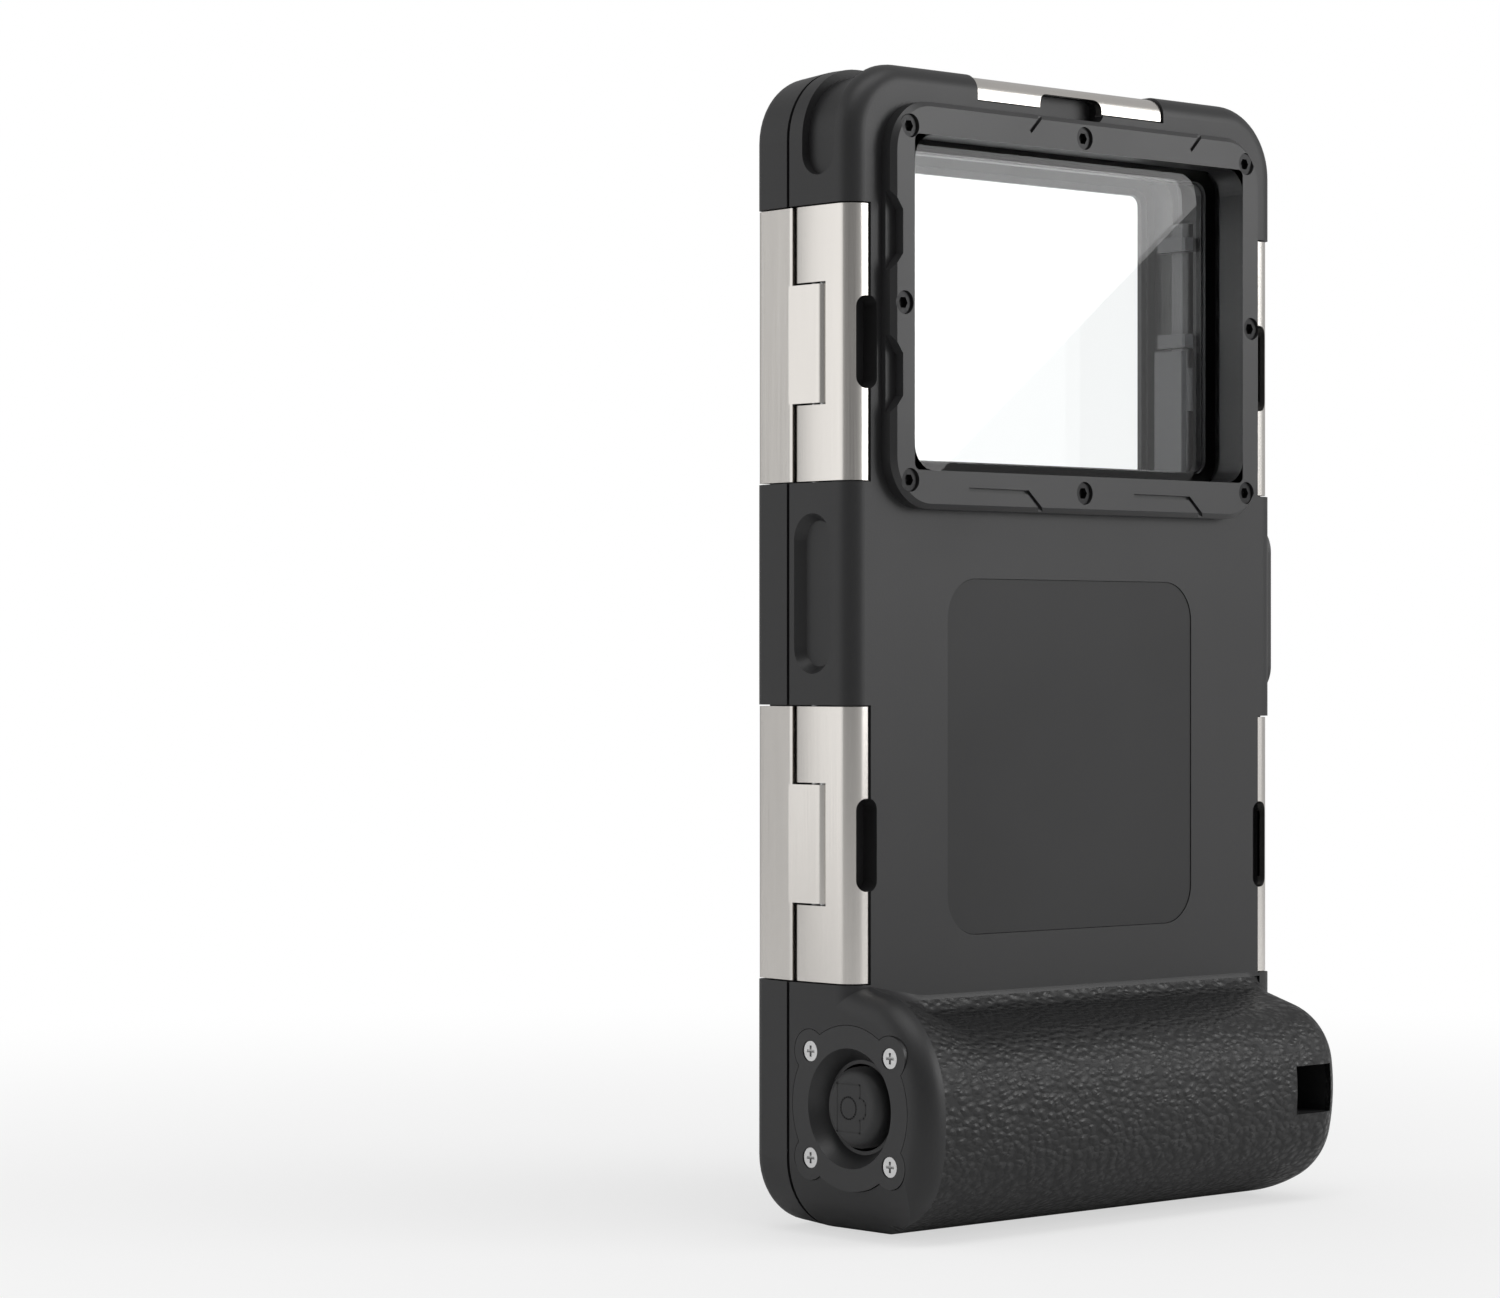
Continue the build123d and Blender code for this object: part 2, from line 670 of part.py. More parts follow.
# Front cover with its screen window
with BuildPart() as front_cover:
    with BuildSketch(back(0)):
        rounded(half_width, (0, body_height), corner_radius)
    extrude(amount=-cover_depth, taper=degrees(atan2(cover_draft, cover_depth)))
    fillet(front_cover.edges().group_by(Axis.Y)[-1], cover_edge_radius)
    with BuildSketch(back(0)):
        rounded(half_width, (0, body_height), corner_radius, 1)
        rounded(half_width, (0, body_height), corner_radius, -parting_gap_depth, Mode.SUBTRACT)
    extrude(amount=-parting_gap, mode=Mode.SUBTRACT)
    with BuildSketch(back(-cover_depth)):
        rounded(half_screen, screen_heights, 2.0, screen_bevel - 0.3)
    with BuildSketch(back(-cover_depth + screen_bevel_depth)):
        rounded(half_screen, screen_heights, 2.0)
    loft(mode=Mode.SUBTRACT)
    with BuildSketch(back(0)):
        rounded(half_screen, screen_heights, 2.0)
    extrude(amount=-cover_depth, mode=Mode.SUBTRACT)
    with BuildSketch(back(0)):
        rounded(half_screen, screen_heights, 2.0, window_margin)
    extrude(amount=-(cover_depth - screen_bevel_depth - window_lip), mode=Mode.SUBTRACT)
    with BuildSketch(back(0)):
        rounded(half_cavity, cavity_heights, cavity_corner, 3.1)
        rounded(half_cavity, cavity_heights, cavity_corner, 1.1, Mode.SUBTRACT)
    extrude(amount=-1.5, mode=Mode.SUBTRACT)
    for frame in latches.values():
        cut_cover_pocket(frame)
front_cover.part.label = "front_cover"
export_step(front_cover.part, "parts/front_cover.step")

with BuildPart() as main_seal:
    with BuildSketch(back(0)):
        rounded(half_cavity, cavity_heights, cavity_corner, 3.0)
        rounded(half_cavity, cavity_heights, cavity_corner, 1.2, Mode.SUBTRACT)
    extrude(amount=-1.5)
main_seal.part.label = "main_seal"
export_step(main_seal.part, "parts/main_seal.step")

screen_seat = -(cover_depth - screen_bevel_depth - window_lip)
with BuildPart() as screen_window_seal:
    with BuildSketch(back(screen_seat)):
        rounded(half_screen, screen_heights, 2.0, window_margin - slip)
        rounded(half_screen, screen_heights, 2.0, 1.2, Mode.SUBTRACT)
    extrude(amount=screen_gasket)
screen_window_seal.part.label = "screen_window_seal"
export_step(screen_window_seal.part, "parts/screen_window_seal.step")

with BuildPart() as screen_window:
    with BuildSketch(back(screen_seat + screen_gasket)):
        rounded(half_screen, screen_heights, 2.0, window_margin - slip)
    extrude(amount=screen_glass)
screen_window.part.label = "screen_window"
export_step(screen_window.part, "parts/screen_window.step")

# Camera window, its gasket and the screwed bezel
with BuildPart() as camera_window_seal:
    with BuildSketch(back(ledge_face)):
        rounded(half_view, view_heights, view_corner, bezel_wall - 0.1)
        rounded(half_view, view_heights, view_corner, -ledge_width + 0.3, Mode.SUBTRACT)
    extrude(amount=camera_gasket)
camera_window_seal.part.label = "camera_window_seal"
export_step(camera_window_seal.part, "parts/camera_window_seal.step")

with BuildPart() as camera_window:
    with BuildSketch(back(ledge_face + camera_gasket)):
        rounded(half_view, view_heights, view_corner, bezel_wall - 0.1)
    extrude(amount=camera_glass)
camera_window.part.label = "camera_window"
export_step(camera_window.part, "parts/camera_window.step")

bezel_face = rear_depth + bezel_proud
bezel_head_plane = back(bezel_face - 0.5)
with BuildPart() as camera_bezel:
    with BuildSketch(back(rear_depth)):
        rounded(bezel_width / 2, (bezel_bottom, bezel_top), bezel_corner)
    extrude(amount=bezel_proud)
    chamfer(camera_bezel.edges().group_by(Axis.Y)[0], 0.9)
    with BuildSketch(back(camera_glass_face)):
        rounded(half_view, view_heights, view_corner, bezel_wall)
    extrude(amount=rear_depth - camera_glass_face)
    with BuildSketch(back(0)):
        rounded(half_view, view_heights, view_corner)
    extrude(amount=bezel_face + 1, mode=Mode.SUBTRACT)
    with BuildSketch(back(bezel_face)):
        with Locations(bezel_screw_places):
            Circle(bezel_screw_head / 2 + 0.1)
    extrude(amount=-(head_height + 0.5), mode=Mode.SUBTRACT)
    with BuildSketch(back(bezel_face)):
        with Locations(bezel_screw_places):
            Circle(bezel_screw_shank / 2 + pin_fit)
    extrude(amount=-bezel_proud, mode=Mode.SUBTRACT)
    with BuildSketch(back(bezel_face)):
        for low, high in ((view_bottom + 9.7, view_bottom + 23.2), (view_top - 23.8, view_top - 10.0)):
            with BuildLine():
                Polyline(
                    (-bezel_width / 2 - 1, low - 1.2),
                    (-bezel_width / 2 + bezel_notch_depth, low + 2.9),
                    (-bezel_width / 2 + bezel_notch_depth, high - 3.3),
                    (-bezel_width / 2 - 1, high + 1.2),
                    close=True,
                )
            make_face()
    extrude(amount=-(bezel_proud - 1.0), mode=Mode.SUBTRACT)
    with BuildSketch(back(bezel_face)):
        for x in (-bezel_width * 0.146, bezel_width * 0.296):
            with BuildLine():
                Line((x, view_top + 2.5), (x + 4, view_top + 6.6))
            trace(line_width=groove_width)
        for x in (-bezel_width * 0.308, bezel_width * 0.136):
            with BuildLine():
                Polyline((x, view_bottom - 3.1), (x + 14.8, view_bottom - 3.2), (x + 19.6, view_bottom - 7.4))
            trace(line_width=groove_width)
    extrude(amount=-groove_depth, mode=Mode.SUBTRACT)
camera_bezel.part.label = "camera_bezel"
export_step(camera_bezel.part, "parts/camera_bezel.step")

bezel_screws = make_screw(bezel_head_plane, bezel_screw_places, bezel_screw_head / 2, bezel_screw_shank / 2,
                          bezel_screw_length, True)
bezel_screws.label = "bezel_screws"
export_step(bezel_screws, "parts/bezel_screws.step")

with BuildPart() as label_panel:
    with BuildSketch(back(rear_depth - label_thickness - label_inset)):
        rounded(label_width / 2, (label_bottom, label_top), label_corner, -0.1)
    extrude(amount=label_thickness)
label_panel.part.label = "label_panel"
export_step(label_panel.part, "parts/label_panel.step")

# Shutter release: plate with its bowl, domed button with a stem, seal, spring and screws
with BuildPart() as shutter_plate:
    with BuildSketch(side(half_width)):
        shutter_outline(0)
    extrude(amount=-shutter_plate_thickness)
    with BuildSketch(side(half_width)):
        with Locations((shutter_back, shutter_height)):
            Circle(shutter_cup_radius)
    extrude(amount=-(half_width - cup_back))
    with BuildSketch(side(half_width)):
        with Locations((shutter_back, shutter_height)):
            Circle(bowl_radius)
    extrude(amount=-3.2, taper=34, mode=Mode.SUBTRACT)
    with BuildSketch(side(half_width)):
        with Locations((shutter_back, shutter_height)):
            Circle(button_radius + button_gap)
    extrude(amount=-(half_width - cup_back), mode=Mode.SUBTRACT)
    with BuildSketch(side(half_width)):
        with Locations(lobe_places):
            Circle(shutter_screw_head / 2 + 0.1)
    extrude(amount=-(head_height + 0.2), mode=Mode.SUBTRACT)
    with BuildSketch(side(half_width)):
        with Locations(lobe_places):
            Circle(shutter_screw_shank / 2 + pin_fit)
    extrude(amount=-shutter_plate_thickness, mode=Mode.SUBTRACT)
shutter_plate.part.label = "shutter_plate"
export_step(shutter_plate.part, "parts/shutter_plate.step")

shutter_screws = make_screw(screw_face, lobe_places, shutter_screw_head / 2, shutter_screw_shank / 2, 7.0, False)
shutter_screws.label = "shutter_plate_screws"
export_step(shutter_screws, "parts/shutter_plate_screws.step")

stem_end = rod_offset + 1.6
button_sink = 0.6
crown = half_width - button_sink
button_axis = Axis((datum_x, datum_y - shutter_back, shutter_height), (1, 0, 0))
with BuildPart() as shutter_button:
    with BuildSketch(side(stem_end)):
        with Locations((shutter_back, shutter_height)):
            Circle(stem_radius)
    extrude(amount=button_back + 0.5 - stem_end)
    with BuildSketch(side(button_back)):
        with Locations((shutter_back, shutter_height)):
            Circle(button_radius)
    extrude(amount=crown - button_back)
    fillet(shutter_button.edges().group_by(Axis.X)[0], 2.2)
shutter_button.part.label = "shutter_button"
export_step(shutter_button.part, "parts/shutter_button.step")

seal_middle = chamber_end - 0.5 - seal_section - 0.05
with BuildPart() as shutter_seal:
    with BuildSketch(level(shutter_height)):
        with Locations((-seal_middle, -shutter_back - stem_radius - seal_section - running_clearance)):
            Circle(seal_section)
    revolve(axis=button_axis)
shutter_seal.part.label = "shutter_seal"
export_step(shutter_seal.part, "parts/shutter_seal.step")

spring_wire = 0.2
spring_length = button_back - chamber_end
with BuildPart() as shutter_spring:
    with BuildLine():
        coil = Helix(pitch=1.6, height=spring_length - 2 * spring_wire - 0.1, radius=4.4,
                     center=(datum_x - button_back + spring_wire + 0.05, datum_y - shutter_back, shutter_height),
                     direction=(1, 0, 0))
    with BuildSketch(Plane(origin=coil @ 0, z_dir=coil % 0)):
        RegularPolygon(spring_wire, 6)
    sweep(is_frenet=True)
shutter_spring.part.label = "shutter_spring"
export_step(shutter_spring.part, "parts/shutter_spring.step")

# Tripod plate, brass thread insert and screws
with BuildPart() as tripod_plate:
    with BuildSketch(side(-half_width - plate_proud)):
        upright_slot(plate_back, plate_height, plate_length, plate_width)
    extrude(amount=plate_proud + plate_sink)
    chamfer(tripod_plate.edges().group_by(Axis.X)[-1], 0.6)
    with BuildSketch(side(-half_width - plate_proud)):
        upright_slot(plate_back, plate_height, plate_length - 3.4, plate_width - 3.4)
    extrude(amount=half_width + plate_proud - field_face, mode=Mode.SUBTRACT)
    with BuildSketch(side(-half_width - plate_proud)):
        with Locations((plate_back, plate_height)):
            Circle(insert_radius + pin_fit)
        with Locations(tripod_places):
            Circle(2.0 + 0.05)
    extrude(amount=plate_proud + 0.6, mode=Mode.SUBTRACT)
    with BuildSketch(side(-half_width - plate_proud)):
        with Locations((plate_back, plate_height)):
            Circle(insert_radius + pin_fit)
        with Locations(tripod_places):
            Circle(1.1 + pin_fit)
    extrude(amount=plate_proud + plate_sink, mode=Mode.SUBTRACT)
tripod_plate.part.label = "tripod_plate"
export_step(tripod_plate.part, "parts/tripod_plate.step")

with BuildPart() as tripod_insert:
    with BuildSketch(side(-field_face)):
        with Locations((plate_back, plate_height)):
            Circle(insert_radius)
    extrude(amount=thread_depth + 0.9)
    with BuildSketch(side(-field_face)):
        with Locations((plate_back, plate_height)):
            Circle(thread_minor_radius)
    extrude(amount=thread_depth, mode=Mode.SUBTRACT)
    chamfer(tripod_insert.edges().filter_by(GeomType.CIRCLE).group_by(Axis.X)[-1].sort_by(SortBy.RADIUS)[0], 0.6)
tripod_insert.part.label = "tripod_insert"
export_step(tripod_insert.part, "parts/tripod_insert.step")

tripod_face = Plane(origin=(datum_x + field_face, datum_y, 0), x_dir=(0, 1, 0), z_dir=(1, 0, 0))
tripod_screws = make_screw(tripod_face, [(-x, z) for x, z in tripod_places], 2.0, 1.1, 7.5, True)
tripod_screws.label = "tripod_plate_screws"
export_step(tripod_screws, "parts/tripod_plate_screws.step")

# Six draw latches: lever, link and the pin between them, with the base pins as one group
with BuildPart() as base_pins:
    for frame in latches.values():
        latch_rod(frame, base_pivot, base_pin_radius, -half_latch - pin_seat + 0.1, half_latch + pin_seat - 0.1)
base_pins.part.label = "latch_base_pins"
export_step(base_pins.part, "parts/latch_base_pins.step")

for name, frame in latches.items():
    lever = make_lever(frame)
    lever.label = f"{name}_lever"
    export_step(lever, f"parts/{name}_lever.step")
    link = make_link(frame)
    link.label = f"{name}_link"
    export_step(link, f"parts/{name}_link.step")
    pin_reach = tongue_length / 2 + tongue_gap + pin_seat - 0.1
    with BuildPart() as link_pin:
        latch_rod(frame, link_pivot, link_pin_radius, -pin_reach, pin_reach)
    link_pin.part.label = f"{name}_link_pin"
    export_step(link_pin.part, f"parts/{name}_link_pin.step")

# Phone platform with its two lock sliders
slot_middle = slider_slot_bottom + slider_slot_length / 2
slider_floor = platform_face + 3.2
with BuildPart() as phone_platform:
    with BuildSketch(back(platform_face)):
        rounded(platform_width / 2, (platform_bottom, platform_top), 1.5)
    extrude(amount=floor_depth - platform_face)
    with BuildSketch(back(platform_face)):
        with Locations((-slider_offset, slot_middle), (slider_offset, slot_middle)):
            Rectangle(slider_width + 0.2, slider_slot_length)
    extrude(amount=slider_floor - platform_face, mode=Mode.SUBTRACT)
    with BuildSketch(back(platform_face)):
        with Locations((0, platform_screw_height)):
            Circle(2.1)
    extrude(amount=head_height + 0.2, mode=Mode.SUBTRACT)
    with BuildSketch(back(platform_face)):
        with Locations((0, platform_screw_height)):
            Circle(0.9 + pin_fit)
    extrude(amount=5.2, mode=Mode.SUBTRACT)
phone_platform.part.label = "phone_platform"
export_step(phone_platform.part, "parts/phone_platform.step")

inward = Plane(origin=(datum_x, datum_y - platform_face - 0.2, 0), x_dir=(-1, 0, 0), z_dir=(0, 1, 0))
platform_screw = make_screw(inward, [(0, platform_screw_height)], 2.0, 0.9, 4.9, False)
platform_screw.label = "platform_screw"
export_step(platform_screw, "parts/platform_screw.step")

for name, x, start in (("shutter_side", -slider_offset, slider_travel), ("tripod_side", slider_offset, 0)):
    middle = slider_slot_bottom + 0.1 + start + slider_length / 2
    with BuildPart() as lock_slider:
        with BuildSketch(back(platform_face - 0.5)):
            with Locations((x, middle)):
                RectangleRounded(slider_width, slider_length, 0.8)
        extrude(amount=slider_floor - platform_face + 0.4)
        with BuildSketch(back(platform_face - 0.5)):
            with Locations((x, middle)):
                Rectangle(slider_width + 1, 4.6)
        extrude(amount=0.6, mode=Mode.SUBTRACT)
        with BuildSketch(back(platform_face - 0.5)):
            with Locations((x, middle)):
                Circle(1.2 + pin_fit)
        extrude(amount=3.0, mode=Mode.SUBTRACT)
    lock_slider.part.label = f"{name}_lock_slider"
    export_step(lock_slider.part, f"parts/{name}_lock_slider.step")
    rivet_face = Plane(origin=(datum_x, datum_y - platform_face + 0.1, 0), x_dir=(-1, 0, 0), z_dir=(0, 1, 0))
    with BuildPart() as rivet:
        with BuildSketch(rivet_face):
            with Locations((-x, middle)):
                Circle(1.2)
        extrude(amount=-2.4)
    rivet.part.label = f"{name}_slider_rivet"
    export_step(rivet.part, f"parts/{name}_slider_rivet.step")

# Toothed rack in the floor and the sliding rest for the phone's lower edge
tooth_pitch = 1.7
tooth_count = int((rack_top - rack_bottom - 1.4) / tooth_pitch)
with BuildPart() as stop_rack:
    box((1.6, 11.5), (floor_depth - 0.4, floor_depth + rack_depth), (rack_bottom + 0.2, rack_top - 0.2))
    with BuildSketch(back(floor_depth - 0.4)):
        with Locations((9.0, (rack_bottom + rack_top) / 2)):
            with GridLocations(0, tooth_pitch, 1, tooth_count):
                Rectangle(5.4, tooth_pitch / 2)
    extrude(amount=0.9, mode=Mode.SUBTRACT)
stop_rack.part.label = "stop_rack"
export_step(stop_rack.part, "parts/stop_rack.step")

with BuildPart() as bottom_stop:
    box((-7, 1.2), (floor_depth - 0.4, floor_depth + rack_depth - 0.1), (rack_bottom + 0.3, rack_bottom + 12.3))
    box((-12, 1.2), (platform_face, floor_depth - 0.3), (rack_bottom + 0.3, rack_bottom + 2.9))
bottom_stop.part.label = "bottom_stop"
export_step(bottom_stop.part, "parts/bottom_stop.step")

# Upright rods on both side walls: the trigger shaft turns its finger, the support rod holds a pad
hub_radius = rod_radius + 0.9


def upright(plane_height, centre, radius, top, mode=Mode.ADD):
    """Round upright bar from one height to another."""
    with BuildSketch(level(plane_height)) as outline:
        with Locations(centre):
            Circle(radius)
    extrude(outline.sketch, amount=top - plane_height, mode=mode)


def flatted(height, centre, toward_middle, grow, top, mode=Mode.ADD):
    """Upright bar of the rod's section, round with a flat on the side of the case's middle."""
    flat = rod_flat + grow
    with BuildSketch(level(height)) as outline:
        with Locations(centre):
            Circle(rod_radius + grow)
        with Locations((centre[0] + toward_middle * (flat + 2.5), centre[1])):
            Rectangle(5, 10, mode=Mode.SUBTRACT)
    extrude(outline.sketch, amount=top - height, mode=mode)


for name, direction in (("trigger", -1), ("support", 1)):
    centre = (direction * rod_offset, -rod_back)
    with BuildPart() as rod:
        flatted(rod_foot, centre, -direction, 0, rod_top)
    rod.part.label = f"{name}_rod"
    export_step(rod.part, f"parts/{name}_rod.step")
    with BuildPart() as brackets:
        for height in bracket_heights:
            x_range = sorted((direction * (rod_offset - rod_radius - 0.9), direction * half_cavity))
            box(x_range, (0.8, ledge_front), (height - bracket_thickness / 2, height + bracket_thickness / 2))
            upright(height - bracket_thickness, centre, rod_radius + running_clearance,
                    height + bracket_thickness, Mode.SUBTRACT)
    brackets.part.label = f"{name}_brackets"
    export_step(brackets.part, f"parts/{name}_brackets.step")
    with BuildPart() as collar:
        upright(finger_collar[0], centre, hub_radius, finger_collar[1])
        x_range = sorted((direction * (rod_offset - 2.4), direction * (rod_offset - 3.8)))
        box(x_range, (0.8, 7.5), (finger_bottom, finger_top))
        flatted(finger_bottom, centre, -direction, running_clearance, finger_top, Mode.SUBTRACT)
    collar_name = "trigger_finger" if name == "trigger" else "support_pad"
    collar.part.label = collar_name
    export_step(collar.part, f"parts/{collar_name}.step")

with BuildPart() as trigger_crank:
    upright(crank_heights[0], (-rod_offset, -rod_back), hub_radius, crank_heights[1])
    box((-rod_offset - 1.1, -rod_offset + 1.1), (rod_back, arm_depth - 1.4), crank_heights)
    flatted(crank_heights[0], (-rod_offset, -rod_back), 1, pin_fit, crank_heights[1], Mode.SUBTRACT)
trigger_crank.part.label = "trigger_crank"
export_step(trigger_crank.part, "parts/trigger_crank.step")

# Sliding rest beside the platform that takes up the phone's width
rest_inner = -platform_width / 2 - rest_gap
rest_range = (rest_inner - rest_width, rest_inner)
with BuildPart() as width_rest:
    box(rest_range, (platform_face, floor_depth), (platform_top - 22, platform_top - 2))
    box(rest_range, (platform_face + 1.2, floor_depth), (platform_top - 30, platform_top - 22))
width_rest.part.label = "width_rest"
export_step(width_rest.part, "parts/width_rest.step")
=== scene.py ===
"""Looks of a waterproof phone case: moulded shells, draw latches, windows and a leather-skinned grip."""

import math

import bmesh
import bpy
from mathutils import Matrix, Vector


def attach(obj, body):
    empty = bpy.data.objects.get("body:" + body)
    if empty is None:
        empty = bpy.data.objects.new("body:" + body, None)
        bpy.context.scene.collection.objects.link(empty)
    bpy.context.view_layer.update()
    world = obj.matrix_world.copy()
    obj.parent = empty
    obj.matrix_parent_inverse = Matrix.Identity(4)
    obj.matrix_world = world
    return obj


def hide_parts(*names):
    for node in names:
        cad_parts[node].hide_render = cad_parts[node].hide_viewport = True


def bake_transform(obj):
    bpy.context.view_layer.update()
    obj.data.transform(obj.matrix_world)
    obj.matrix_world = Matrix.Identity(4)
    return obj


bl_info = {
    "name": "Waterproof Phone Case",
    "version": (1, 0, 0),
    "blender": (4, 5, 0),
    "location": "View3D > Sidebar > Phone Case",
    "description": "Dresses a waterproof phone case and sets it in a plain studio",
    "category": "Object",
}

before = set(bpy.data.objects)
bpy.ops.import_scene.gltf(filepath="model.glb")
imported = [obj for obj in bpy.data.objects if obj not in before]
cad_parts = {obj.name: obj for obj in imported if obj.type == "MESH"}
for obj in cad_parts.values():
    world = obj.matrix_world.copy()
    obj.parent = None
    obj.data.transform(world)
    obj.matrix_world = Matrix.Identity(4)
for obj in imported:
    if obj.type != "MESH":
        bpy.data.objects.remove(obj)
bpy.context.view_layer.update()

MM = 0.001
# Middle of the case across, and its parting plane, in the frame
MIDDLE_X = -1.1 * MM
PARTING_Y = 12.2 * MM
SIDE_LATCHES = (
    "shutter_side_upper", "shutter_side_lower", "tripod_side_upper", "tripod_side_lower",
)
# Sizes and places of the CAD model that the added pieces line up with, in millimetres.
# A depth is measured back from the parting plane.
HALF_WIDTH = 55.0
HEIGHT = 202.6
VIEW_HALF_WIDTH = 42.4
VIEW_HEIGHTS = (132.2, 190.2)
VIEW_WALL_DEPTHS = (12.9, 18.6)
VIEW_CORNER = 4.5
BUTTON_DEPTH, BUTTON_HEIGHT = 15.4, 22.7
TRIPOD_DEPTH, TRIPOD_HEIGHT = 7.1, 109.0


def linear(hex_colour):
    """Turns an sRGB hex value into the linear colour that a shader takes."""
    values = [int(hex_colour[i:i + 2], 16) / 255 for i in (1, 3, 5)]
    return tuple(v / 12.92 if v <= 0.04045 else ((v + 0.055) / 1.055) ** 2.4 for v in values) + (1.0,)


def colour(name, description, hex_colour):
    """A colour property with its default."""
    return bpy.props.FloatVectorProperty(
        name=name, description=description, default=linear(hex_colour), size=4, min=0, max=1, subtype="COLOR",
    )


def length(name, description, millimetres):
    """A length property with its default given in millimetres."""
    return bpy.props.FloatProperty(
        name=name, description=description, default=millimetres * MM, min=0, precision=5,
        subtype="DISTANCE", unit="LENGTH",
    )


class CaseColours(bpy.types.PropertyGroup):
    """Colours of the case's materials."""

    shell: colour("Shell", "Moulded shells", "#222223")
    bezel: colour("Bezel", "Bezel, shutter plate and tripod plate", "#262627")
    leather: colour("Grip", "Leather-look skin of the grip", "#101011")
    steel: colour("Latch steel", "Levers and links of the latches", "#dcd8d3")
    fitting: colour("Fittings", "Platform, stops and brackets inside", "#4a4b4d")
    rubber: colour("Rubber", "Button and seals", "#202021")
    label: colour("Label panel", "Film on the rear face", "#1a1a1b")
    bright: colour("Bright screws", "Screws of the shutter plate", "#dedede")
    black_oxide: colour("Black screws", "Screws of the bezel and tripod plate", "#1b1b1c")


class CaseSizes(bpy.types.PropertyGroup):
    """Sizes of the details that are drawn on the case."""

    comb: length("Honeycomb", "Distance across the flats of a cell", 6.0)
    comb_line: length("Honeycomb line", "Width of the line between two cells", 0.5)
    knurl: length("Knurl", "Pitch of the raised points on a slider", 1.1)
    line: length("Sign line", "Width of the lines of the moulded signs", 0.35)
    pore: length("Grain", "Size of a pebble of the grip's grain", 1.1)
    grain: length("Mould grain", "Size of the moulded shells' grain", 0.35)
    thread: length("Thread", "Pitch of the tripod thread", 1.27)


def add(tree, kind, settings=None, inputs=None):
    """Adds a node with its settings; an input is a value or another node's output socket."""
    made = tree.nodes.new(kind)
    for name, value in (settings or {}).items():
        setattr(made, name, value)
    for name, value in (inputs or {}).items():
        if isinstance(value, bpy.types.NodeSocket):
            tree.links.new(value, made.inputs[name])
        else:
            made.inputs[name].default_value = value
    return made


def new_material(name):
    """An empty node material with its output."""
    material = bpy.data.materials.new(name)
    material.use_nodes = True
    tree = material.node_tree
    tree.nodes.clear()
    return material, tree


def finish_material(tree, shader):
    """Links the shader to a material output."""
    add(tree, "ShaderNodeOutputMaterial", {}, {"Surface": shader.outputs[0]})


def object_coordinates(tree, scale=(1, 1, 1)):
    """Object coordinates in metres, stretched by a scale."""
    place = add(tree, "ShaderNodeTexCoord")
    return add(tree, "ShaderNodeMapping", {}, {"Vector": place.outputs["Object"], "Scale": scale}).outputs[0]


def moulded_plastic(name, colour_value, grain, roughness, bump=0.35):
    """Moulded plastic. The spark-eroded tool leaves a fine even grain that softens highlights."""
    material, tree = new_material(name)
    where = object_coordinates(tree)
    fine = add(tree, "ShaderNodeTexNoise", {}, {"Vector": where, "Scale": 1 / grain, "Detail": 2.0})
    broad = add(tree, "ShaderNodeTexNoise", {}, {"Vector": where, "Scale": 1 / (40 * MM), "Detail": 3.0})
    rough = add(tree, "ShaderNodeMapRange", {}, {
        "Value": broad.outputs["Fac"], "From Min": 0.3, "From Max": 0.7,
        "To Min": roughness - 0.03, "To Max": roughness + 0.03,
    })
    relief = add(tree, "ShaderNodeBump", {}, {
        "Height": fine.outputs["Fac"], "Strength": bump, "Distance": 0.03 * MM,
    })
    shader = add(tree, "ShaderNodeBsdfPrincipled", {}, {
        "Base Color": colour_value, "Roughness": rough.outputs[0], "Normal": relief.outputs[0],
        "IOR": 1.5, "Specular IOR Level": 0.5,
    })
    finish_material(tree, shader)
    return material


def brushed_steel(name, colour_value, along):
    """Stainless sheet, brushed along the latch. The fine scratches draw the highlights out across them."""
    material, tree = new_material(name)
    # A scratch is about 0.12 mm wide and 30 mm long, drawn a little coarse so that it shows.
    wide, long = 1 / (0.12 * MM), 1 / (30 * MM)
    scale = tuple(long if axis == along else wide for axis in "XYZ")
    where = object_coordinates(tree, scale)
    scratch = add(tree, "ShaderNodeTexNoise", {}, {"Vector": where, "Scale": 1.0, "Detail": 3.0})
    rough = add(tree, "ShaderNodeMapRange", {}, {
        "Value": scratch.outputs["Fac"], "From Min": 0.3, "From Max": 0.7, "To Min": 0.17, "To Max": 0.27,
    })
    relief = add(tree, "ShaderNodeBump", {}, {
        "Height": scratch.outputs["Fac"], "Strength": 0.35, "Distance": 0.01 * MM,
    })
    shader = add(tree, "ShaderNodeBsdfPrincipled", {}, {
        "Base Color": colour_value, "Metallic": 1.0,
        "Roughness": rough.outputs[0], "Normal": relief.outputs[0],
    })
    finish_material(tree, shader)
    return material


def plain_metal(name, colour_value, roughness, metallic=1.0):
    """Turned or coated metal with faint unevenness in its gloss."""
    material, tree = new_material(name)
    where = object_coordinates(tree)
    uneven = add(tree, "ShaderNodeTexNoise", {}, {"Vector": where, "Scale": 1 / (0.6 * MM), "Detail": 2.0})
    rough = add(tree, "ShaderNodeMapRange", {}, {
        "Value": uneven.outputs["Fac"], "From Min": 0.3, "From Max": 0.7,
        "To Min": roughness - 0.05, "To Max": roughness + 0.05,
    })
    shader = add(tree, "ShaderNodeBsdfPrincipled", {}, {
        "Base Color": colour_value, "Metallic": metallic, "Roughness": rough.outputs[0],
    })
    finish_material(tree, shader)
    return material


